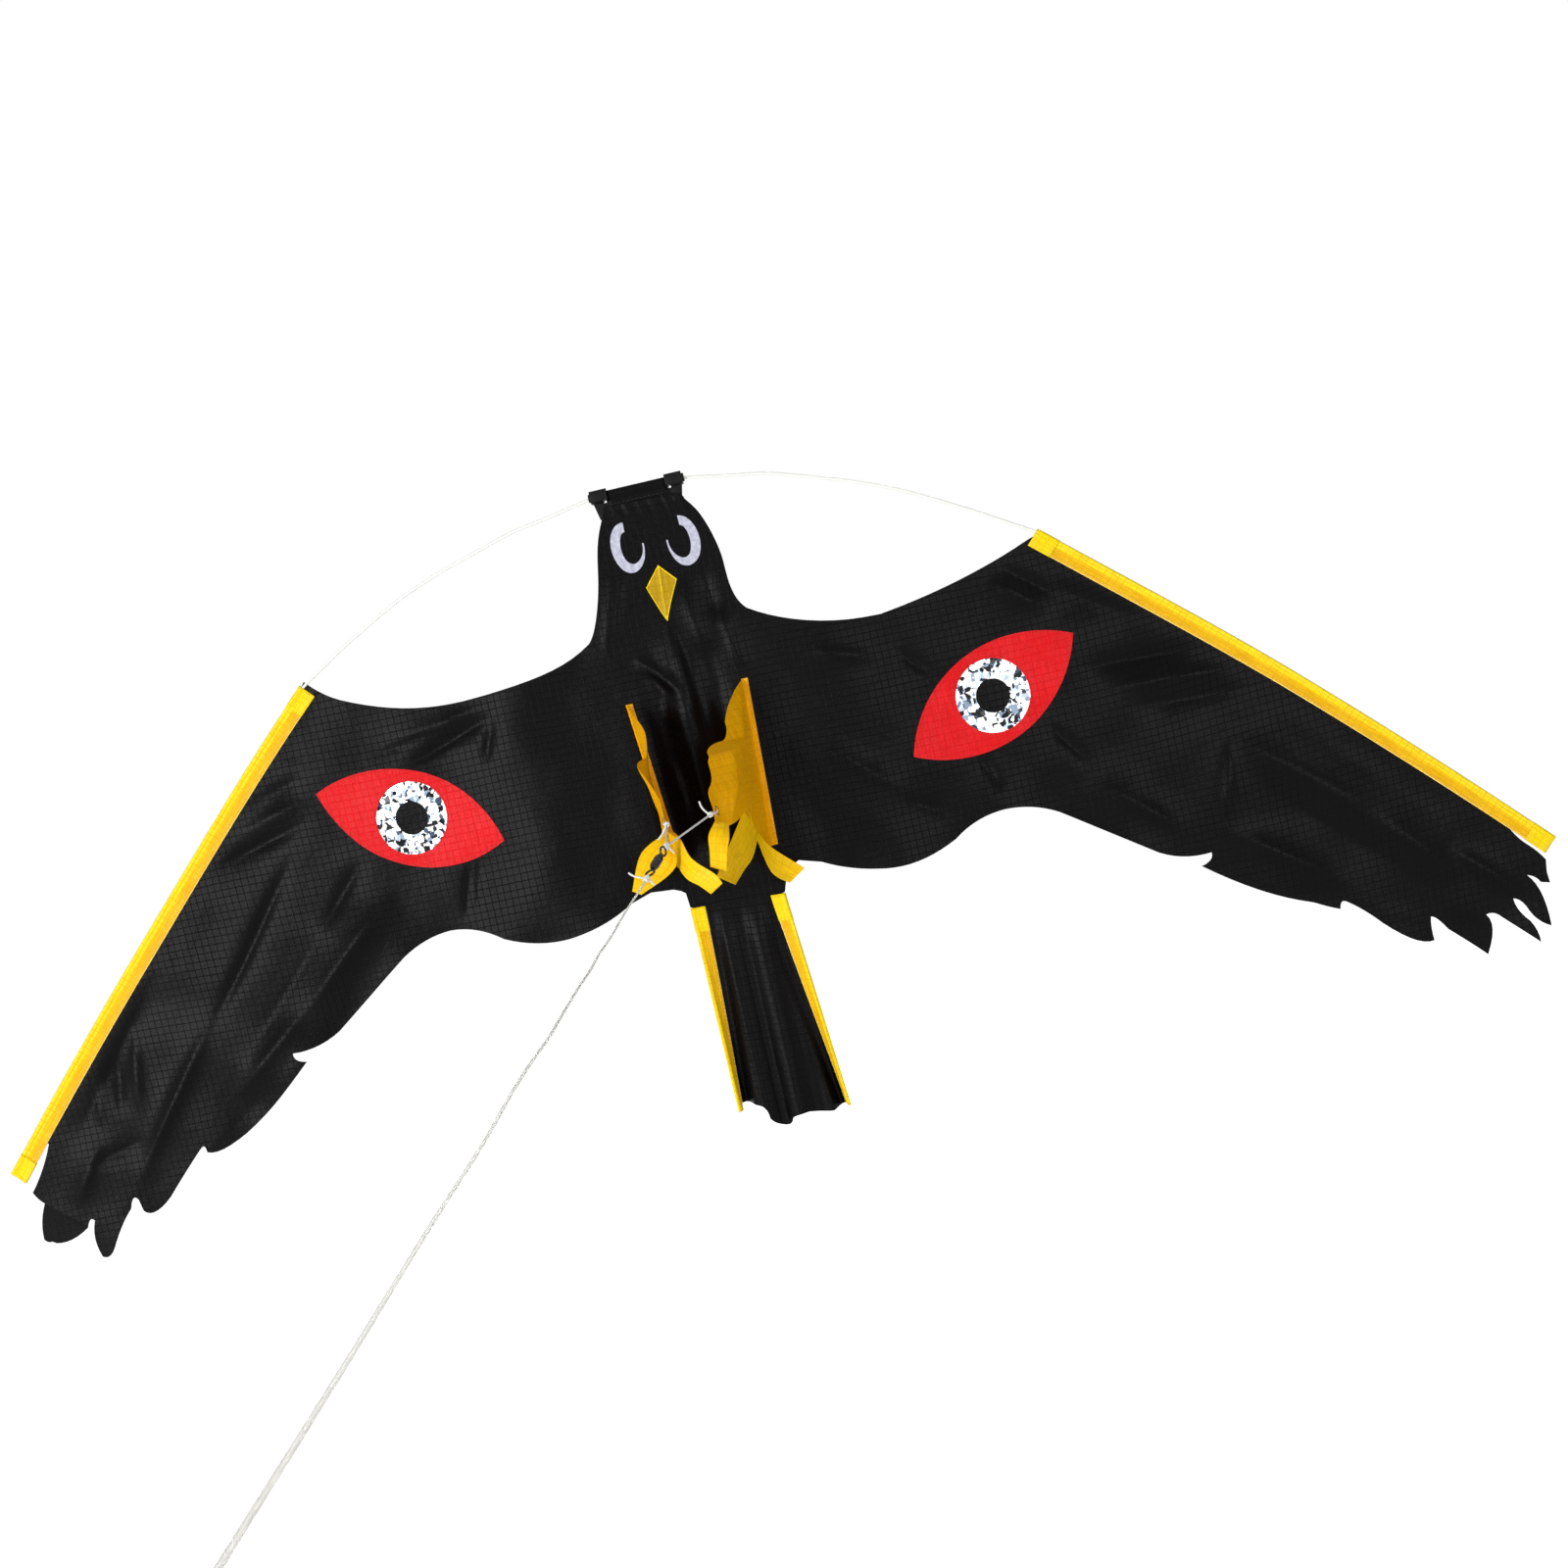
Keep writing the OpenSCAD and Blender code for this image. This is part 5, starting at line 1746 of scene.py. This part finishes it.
def keel_outline():
    """Keel down to the roots of its toes, with a scalloped free edge: distance out from the seam, height"""
    return [
        (0, KEEL_TOP),
        *bow((8, KEEL_TOP - 3), (32, 4), (50, -13)),
        *bow((50, -13), (52, -24), (62, -27), 6),
        *bow((62, -27), (90, -27), (96, -40)),
        *bow((96, -40), (95, -50), (102, -56), 6),
        *bow((102, -56), (113, -62), (111, -72), 8),
        *bow((111, -72), (110, -80), (113, -86), 6),
        (94, -89),
        *bow((94, -89), (70, -88), (54, -79), 6),
        (32, -106),
        (10, KEEL_BOTTOM - 1),
        (0, KEEL_BOTTOM),
    ]


# Distance of each keel's seam from the middle, at its top and at its bottom
KEEL_SEAM = {-1: (45.5, 35.0), 1: (48.0, 42.5)}
# Height and reach of the free edge
KEEL_REACH = [(-104, 118), (-72, 111), (-56, 102), (-36, 92), (-27, 62), (-13, 50), (4, 27), (14, 9), (17, 4)]
# Both edges of each toe: where they leave the keel, as distance from the seam and height, then points in the
# sail's frame
TOES = {
    -1: {
        "front": (
            ((112, -83), (-45, -106, -94), (-58, -104, -120)),
            ((93, -87), (-24, -93, -110), (-52, -104, -124)),
        ),
        "middle": (
            ((55, -78), (-18, -85, -89), (-10, -102, -106), (5, -110, -120), (9, -110, -128)),
            ((32, -104), (-27, -70, -106), (-18, -98, -119), (-8, -106, -127), (-1, -110, -134)),
        ),
        "back": (
            ((30, -98), (-44, -16, -106), (-54, -8, -114)),
            ((34, -106), (-41, -20, -116), (-48, -8, -122)),
        ),
    },
    1: {
        "front": (
            ((112, -83), (6, -103, -92), (4, -102, -104), (2, -102, -115)),
            ((93, -87), (20, -96, -97), (16, -100, -108), (13, -102, -121)),
        ),
        "middle": (
            ((55, -78), (21, -75, -98), (15, -88, -107), (5, -102, -123)),
            ((31, -105), (30, -55, -118), (23, -75, -125), (17, -98, -132)),
        ),
        "back": (
            ((28, -103), (43, -22, -116), (64, -12, -138)),
            ((36, -104), (39, -26, -134), (50, -12, -147)),
        ),
    },
}


def keel_seam(side, z):
    """Distance of a keel's seam from the middle at a height"""
    top, bottom = KEEL_SEAM[side]
    return top + (bottom - top) * np.clip((KEEL_TOP - z) / (KEEL_TOP - KEEL_BOTTOM), 0, 1)


def keel_surface(side):
    """Surface of a keel: it bellies between seam and free edge, and is drawn flat at its eyelet"""
    lean = KEEL_LEAN[side]

    def surface(flat):
        flat = np.asarray(flat, float)
        u, z = flat[:, 0], flat[:, 1]
        reach = np.interp(z, *zip(*KEEL_REACH))
        if side > 0:
            # The strip beside the free edge is folded towards the front
            strip = np.minimum(25, 0.4 * reach)
            height = 10 * np.clip(reach / 80, 0, 1)
            rising = height * u / (reach - strip)
            falling = height * (reach - u) / strip
            off = -0.7 * np.logaddexp(-rising / 0.7, -falling / 0.7) * smooth(z, -112, -60)
        else:
            off = 9 * np.exp(-(((u - 88) / 20) ** 2) - ((z + 34) / 20) ** 2)
            off = off - 5 * np.exp(-(((u - 45) / 22) ** 2) - ((z + 8) / 22) ** 2)
        off = off + 1.3 * np.sin(z / 6.5 + u / 17) * smooth(u, 30, 100)
        off = off * (1 - np.exp(-((u - EYELET[0]) ** 2 + (z - EYELET[1]) ** 2) / 12**2))
        sewn = 1 - smooth(u, 0, 70)
        seam = keel_seam(side, z)
        behind = sail(np.column_stack([side * seam, z]))[:, 1]
        x = KEEL_X + (seam - KEEL_X) * sewn - u * math.sin(lean) + off * math.cos(lean)
        y = behind * sewn - u * math.cos(lean) - off * math.sin(lean)
        return np.column_stack([side * x, y, z])

    return surface


def ribbon(name, edges, material, thickness):
    """Strip of cloth between two edges, each given by as many points"""
    first, second = (through(edge, 6) for edge in edges)
    count = len(first)
    width = float(np.linalg.norm(second - first, axis=1).mean())
    length = float(np.linalg.norm(np.diff((first + second) / 2, axis=0), axis=1).sum())

    def surface(flat):
        at = np.clip(flat[:, 1] / length, 0, 1) * (count - 1)
        low = np.minimum(at.astype(int), count - 2)
        share = (at - low)[:, None]
        a = first[low] + (first[low + 1] - first[low]) * share
        b = second[low] + (second[low + 1] - second[low]) * share
        return a + (b - a) * np.clip(flat[:, :1] / width, 0, 1)

    flat = filled([(0, 0), (width, 0), (width, length), (0, length)], step=1.8)
    piece = cloth_piece(name, flat, surface, material, thickness)
    outward(piece)
    return piece


class KITE_OT_keels(bpy.types.Operator):
    """Keels with their hems, toes and eyelets"""

    bl_idname = "kite.keels"
    bl_label = "Keels"

    def toes(self, word, side, thickness):
        """Toes that leave a keel's lower edge, each bent its own way"""
        surface = keel_surface(side)
        pieces = []
        for toe, edges in TOES[side].items():
            drawn_edges = [[surface([edge[0]])[0], *edge[1:]] for edge in edges]
            piece = ribbon(f"{word}_{toe}_toe", drawn_edges, finish("toe"), thickness)
            pieces.append(on_body(piece, "kite_body", "keel_yellow", word + "_keel"))
        return pieces

    def execute(self, context):
        thickness = cloth_thickness()
        for word, side in SIDES.items():
            flat = filled(keel_outline()[::-1], step=2.0)
            leg = cloth_piece(word + "_leg_cloth", flat, keel_surface(side), finish("keel"), thickness)
            outward(leg)
            on_body(leg, "kite_body", "keel_yellow", word + "_keel")
            # The right hem is folded away from the middle, the left one towards it
            heights = np.linspace(KEEL_TOP, KEEL_BOTTOM, 12)
            near = [(keel_seam(side, z) - side * 0.8, z) for z in heights]
            far = [(keel_seam(side, z) + side * KEEL_HEM_W, z) for z in heights]
            edge = far[::-1] + near if side > 0 else far + near[::-1]
            strip_flat = filled(mirrored(edge, side), step=1.6)
            strip = cloth_piece(word + "_keel_hem", strip_flat, raised(sail, 0.4), finish("keel"), thickness)
            outward(strip)
            on_body(strip, "kite_body", "keel_yellow", word + "_keel")
            heights = np.linspace(KEEL_TOP - 1, KEEL_BOTTOM + 1, 40)
            row = [(keel_seam(side, z) + side * (KEEL_HEM_W - 1.2), z) for z in heights]
            sew("kite_body", "thread", raised(sail, 0.6)(mirrored(row, side)))
            declare_sheet(flat, [strip, *self.toes(word, side, thickness)])
            ring = dressed_copy(word + "_eyelet", word + "_eyelet_ring", finish("brass"), bevel=0.0)
            on_body(ring, "kite_body", "eyelet_brass", word + "_eyelet")
        return {"FINISHED"}


# Head and eyes

# Crescents round the head's eyes: middle, half width and half height, and the film's width
MARK_AT = (22, 135)
MARK_R = (13, 20)
MARK_W = 7.6
# Size of the beak's mesh, and thickness of its hem and of the painted highlight strip on its ridge
BEAK_STEP = 0.9
BEAK_HEM_T = 0.2
# Thickness of the foil
FOIL_T = 0.12


class KITE_OT_head(bpy.types.Operator):
    """Head bar, clips, hem, eye marks and beak"""

    bl_idname = "kite.head"
    bl_label = "Head"

    def hem(self):
        """Hem round the head bar, sewn below it"""

        def lay(t, p, depth):
            return np.column_stack([t - HEAD_HEM_END, depth, BAR_Z + BAR_R + HEM_FOLD - p])

        hem = folded_hem("head_fold", hem_profile(BAR_R, HEAD_HEM_W), 2 * HEAD_HEM_END, lay, finish("sail"),
                         step=2.0)
        on_body(hem, "kite_body", "ripstop_black", "head_hem")
        along = np.linspace(1, 2 * HEAD_HEM_END - 1, 20)
        for depth in STITCH_DEPTHS:
            sew("kite_body", "black_thread", lay(along, np.full(20, HEAD_HEM_W - 1.5), np.full(20, depth)))

    def marks(self, thickness):
        """White crescents of the eyes, open towards the beak"""

        def mark(angle, share):
            inset = share * MARK_W * (1 - 0.85 * smooth(angle, -70, -185))
            turn = np.radians(angle)
            x = MARK_AT[0] + (MARK_R[0] - inset) * np.cos(turn)
            return x, MARK_AT[1] + (MARK_R[1] - inset) * np.sin(turn)

        angles = np.linspace(92, -186, 44)
        crescent = [mark(a, 0) for a in angles] + [mark(a, 1) for a in angles[::-1]]
        parts = [filled(mirrored(crescent[::-1], side), step=1.5) for side in (-1, 1)]
        points = np.concatenate([p for p, _ in parts])
        faces = np.concatenate([parts[0][1], parts[1][1] + len(parts[0][0])])
        film = cloth_piece("eye_crescents", (points, faces), raised(sail, 0.3), finish("mark"), thickness)
        on_body(film, "kite_body", "mark_white", "head_eye_marks")

    def beak(self, thickness):
        """Pleated beak with a paler hem and a painted highlight down its ridge"""

        def pleated(flat):
            middle = flat[:, 0] + 1.5 - 2.5 * (118 - flat[:, 1]) / 44
            ridge = 1.2 * np.exp(-np.abs(middle) / 0.9)
            ridge = ridge * smooth(flat[:, 1], 75, 80) * smooth(flat[:, 1], 117, 112)
            return sail(flat) + (0.32 + ridge)[:, None] * [0, -1, 0]

        corners = np.array([(-1.5, 118.4), (-12.8, 102.5), (1, 74), (12, 105.5)])
        patch = cloth_piece("beak_cloth", filled(corners, BEAK_STEP), pleated, finish("beak"), thickness)
        on_body(patch, "kite_body", "keel_yellow", "beak_patch")
        middle = corners.mean(0)
        inner = middle + (corners - middle) * 0.93
        border = filled(corners, BEAK_STEP, [inner])
        rim = cloth_piece("beak_hem", border, raised(pleated, 0.25), finish("tab"), BEAK_HEM_T)
        on_body(rim, "kite_body", "keel_yellow", "beak_patch")
        # A narrow pale strip down the ridge is a painted highlight
        line = filled([(-1.85, 117), (0.45, 76), (1.3, 76), (-1.05, 117)], BEAK_STEP)
        ridge_highlight = cloth_piece("beak_ridge_highlight", line, raised(pleated, 0.2), finish("tab"), BEAK_HEM_T)
        on_body(ridge_highlight, "kite_body", "keel_yellow", "beak_patch")

    def execute(self, context):
        thickness = cloth_thickness()
        self.hem()
        for node in ("head_bar", "left_head_clip", "right_head_clip"):
            part = dressed_copy(node, node + "_moulding", finish("plastic"), bevel=0.0004)
            on_body(part, "kite_body", "black_plastic", node)
        self.marks(thickness)
        self.beak(thickness)
        return {"FINISHED"}


def almond(inset=0.0):
    """Red almond of a wing's eye: two arcs that meet at its ends, tilted"""
    r = ((EYE_L / 2) ** 2 + (EYE_H / 2) ** 2) / EYE_H
    half = math.acos((r - EYE_H / 2) / (r - inset))
    sweep = np.linspace(-half, half, 36, endpoint=False)
    top = [((r - inset) * math.sin(-a), (r - inset) * math.cos(a) - r + EYE_H / 2) for a in sweep]
    bottom = [((r - inset) * math.sin(a), r - (r - inset) * math.cos(a) - EYE_H / 2) for a in sweep]
    c, s = math.cos(EYE_TILT), math.sin(EYE_TILT)
    return [(EYE_AT[0] + c * x - s * y, EYE_AT[1] + s * x + c * y) for x, y in top + bottom]


def circle(diameter, n=72):
    """Round outline about the middle of a wing's eye"""
    turn = np.linspace(0, 2 * math.pi, n, endpoint=False)
    return [(EYE_AT[0] + diameter / 2 * math.cos(a), EYE_AT[1] + diameter / 2 * math.sin(a)) for a in turn]


class KITE_OT_eyes(bpy.types.Operator):
    """Red almonds and foil rings on the wings"""

    bl_idname = "kite.eyes"
    bl_label = "Wing eyes"

    def execute(self, context):
        thickness = cloth_thickness()
        for word, side in SIDES.items():
            surface = wing_surface(side)
            flat = filled(mirrored(almond(), side), 3.0, [mirrored(circle(FOIL_D + 1), side)])
            red = cloth_piece(word + "_eye_cloth", flat, raised(surface, 0.32), finish("eye"), thickness)
            on_body(red, word + "_wing", "eye_red", word + "_eye_patch")
            flat = filled(mirrored(circle(FOIL_D + 3), side), 2.5, [mirrored(circle(PUPIL_D), side)])
            foil = cloth_piece(word + "_eye_shards", flat, raised(surface, 0.2), finish("foil"), FOIL_T)
            on_body(foil, word + "_wing", "eye_foil", word + "_eye_foil")
            for ring in (almond(1.3), circle(FOIL_D + 3.4)):
                row = np.array(mirrored(ring, side) + mirrored(ring, side)[:1])
                sew(word + "_wing", "red_thread", raised(surface, 0.52)(row))
        return {"FINISHED"}


# Seams

# Rows of stitches by body and thread, filled while the pieces are made
ROWS = {}
# Thickness of the thread, share of the pitch that a stitch takes up, and each thread's slot
THREAD_D = 0.45
STITCH_SHARE = 0.72
THREAD_SLOTS = {"thread": "ripstop_yellow", "black_thread": "ripstop_black", "red_thread": "eye_red"}


def sew(body, thread, row):
    """Keeps a row of stitches, given by points in the sail's frame, for the seams"""
    ROWS.setdefault((body, thread), []).append(place(row))


def sewn_rows():
    """Geometry nodes that lay one stitch after another along the edges of a mesh"""
    tree = bpy.data.node_groups.new("sewn_rows", "GeometryNodeTree")
    tree.interface.new_socket("Rows", in_out="INPUT", socket_type="NodeSocketGeometry")
    for name in ("Pitch", "Stitch", "Thread"):
        tree.interface.new_socket(name, in_out="INPUT", socket_type="NodeSocketFloat")
    tree.interface.new_socket("Finish", in_out="INPUT", socket_type="NodeSocketMaterial")
    tree.interface.new_socket("Stitches", in_out="OUTPUT", socket_type="NodeSocketGeometry")
    given = add(tree, "NodeGroupInput").outputs
    curve = add(tree, "GeometryNodeMeshToCurve", {"Mesh": given["Rows"]}).outputs["Curve"]
    spread = {"Curve": curve, "Length": given["Pitch"]}
    at = add(tree, "GeometryNodeCurveToPoints", spread, mode="LENGTH").outputs
    bead = add(tree, "GeometryNodeMeshUVSphere", {"Segments": 6, "Rings": 4, "Radius": 0.5}).outputs["Mesh"]
    uneven = add(tree, "FunctionNodeRandomValue", {"Min": 0.88, "Max": 1.08, "Seed": 5}, data_type="FLOAT")
    reach = maths(tree, "MULTIPLY", given["Stitch"], uneven.outputs["Value"])
    size = add(tree, "ShaderNodeCombineXYZ", {"X": given["Thread"], "Y": given["Thread"], "Z": reach})
    sewn = add(
        tree,
        "GeometryNodeInstanceOnPoints",
        {"Points": at["Points"], "Instance": bead, "Rotation": at["Rotation"],
         "Scale": size.outputs["Vector"]},
    )
    whole = add(tree, "GeometryNodeRealizeInstances", {"Geometry": sewn.outputs["Instances"]})
    coloured = add(tree, "GeometryNodeSetMaterial", {"Geometry": whole.outputs["Geometry"],
                                                 "Material": given["Finish"]})
    add(tree, "NodeGroupOutput", {"Stitches": coloured.outputs["Geometry"]})
    return tree


class KITE_OT_seams(bpy.types.Operator):
    """Stitches along the hems and patches"""

    bl_idname = "kite.seams"
    bl_label = "Seams"

    def execute(self, context):
        pitch = context.scene.kite_cloth.stitch
        tree = sewn_rows()
        sockets = {item.name: item.identifier for item in tree.interface.items_tree if item.in_out == "INPUT"}
        for (body, thread), rows in ROWS.items():
            first = np.cumsum([0] + [len(row) for row in rows])
            edges = [(n + i, n + i + 1) for n, row in zip(first, rows) for i in range(len(row) - 1)]
            mesh = bpy.data.meshes.new("rows")
            mesh.from_pydata([tuple(p) for p in np.concatenate(rows)], edges, [])
            obj = bpy.data.objects.new(f"{body}_{thread}_stitches", mesh)
            bpy.context.scene.collection.objects.link(obj)
            nodes = obj.modifiers.new("sewn", "NODES")
            nodes.node_group = tree
            nodes[sockets["Pitch"]] = pitch
            nodes[sockets["Stitch"]] = STITCH_SHARE * pitch
            nodes[sockets["Thread"]] = THREAD_D / 1000
            nodes[sockets["Finish"]] = finish(thread)
            made = bpy.data.meshes.new_from_object(obj.evaluated_get(bpy.context.evaluated_depsgraph_get()))
            obj.modifiers.clear()
            obj.data = made
            made.polygons.foreach_set("use_smooth", [True] * len(made.polygons))
            on_body(obj, body, THREAD_SLOTS[thread])
        return {"FINISHED"}


class KITE_PT_panel(bpy.types.Panel):
    """Lists the pieces of the kite"""

    bl_idname = "KITE_PT_panel"
    bl_label = "Hawk kite"
    bl_space_type = "VIEW_3D"
    bl_region_type = "UI"
    bl_category = "Kite"

    def draw(self, context):
        for group in (context.scene.kite_cloth, context.scene.kite_cord, context.scene.kite_stage):
            box = self.layout.box()
            for name in group.__annotations__:
                box.prop(group, name)
        for operator in OPERATORS:
            self.layout.operator(operator.bl_idname)


SETTINGS = {"kite_cloth": KiteClothSettings, "kite_cord": KiteCordSettings, "kite_stage": KiteStageSettings}
OPERATORS = (
    KITE_OT_stage,
    KITE_OT_line,
    KITE_OT_bridle,
    KITE_OT_sail,
    KITE_OT_sleeves,
    KITE_OT_tail,
    KITE_OT_keels,
    KITE_OT_head,
    KITE_OT_eyes,
    KITE_OT_seams,
)


def register():
    """Registers the settings, operators and panel"""
    for name, group in SETTINGS.items():
        bpy.utils.register_class(group)
        setattr(bpy.types.Scene, name, PointerProperty(type=group))
    for operator in OPERATORS:
        bpy.utils.register_class(operator)
    bpy.utils.register_class(KITE_PT_panel)


def unregister():
    """Removes the panel, operators and settings"""
    bpy.utils.unregister_class(KITE_PT_panel)
    for operator in reversed(OPERATORS):
        bpy.utils.unregister_class(operator)
    for name, group in SETTINGS.items():
        delattr(bpy.types.Scene, name)
        bpy.utils.unregister_class(group)


def main():
    """Builds the kite"""
    register()
    bpy.ops.kite.stage()
    bpy.ops.kite.line()
    bpy.ops.kite.bridle()
    bpy.ops.kite.sail()
    bpy.ops.kite.sleeves()
    bpy.ops.kite.tail()
    bpy.ops.kite.keels()
    bpy.ops.kite.head()
    bpy.ops.kite.eyes()
    bpy.ops.kite.seams()


if __name__ == "__main__":
    main()
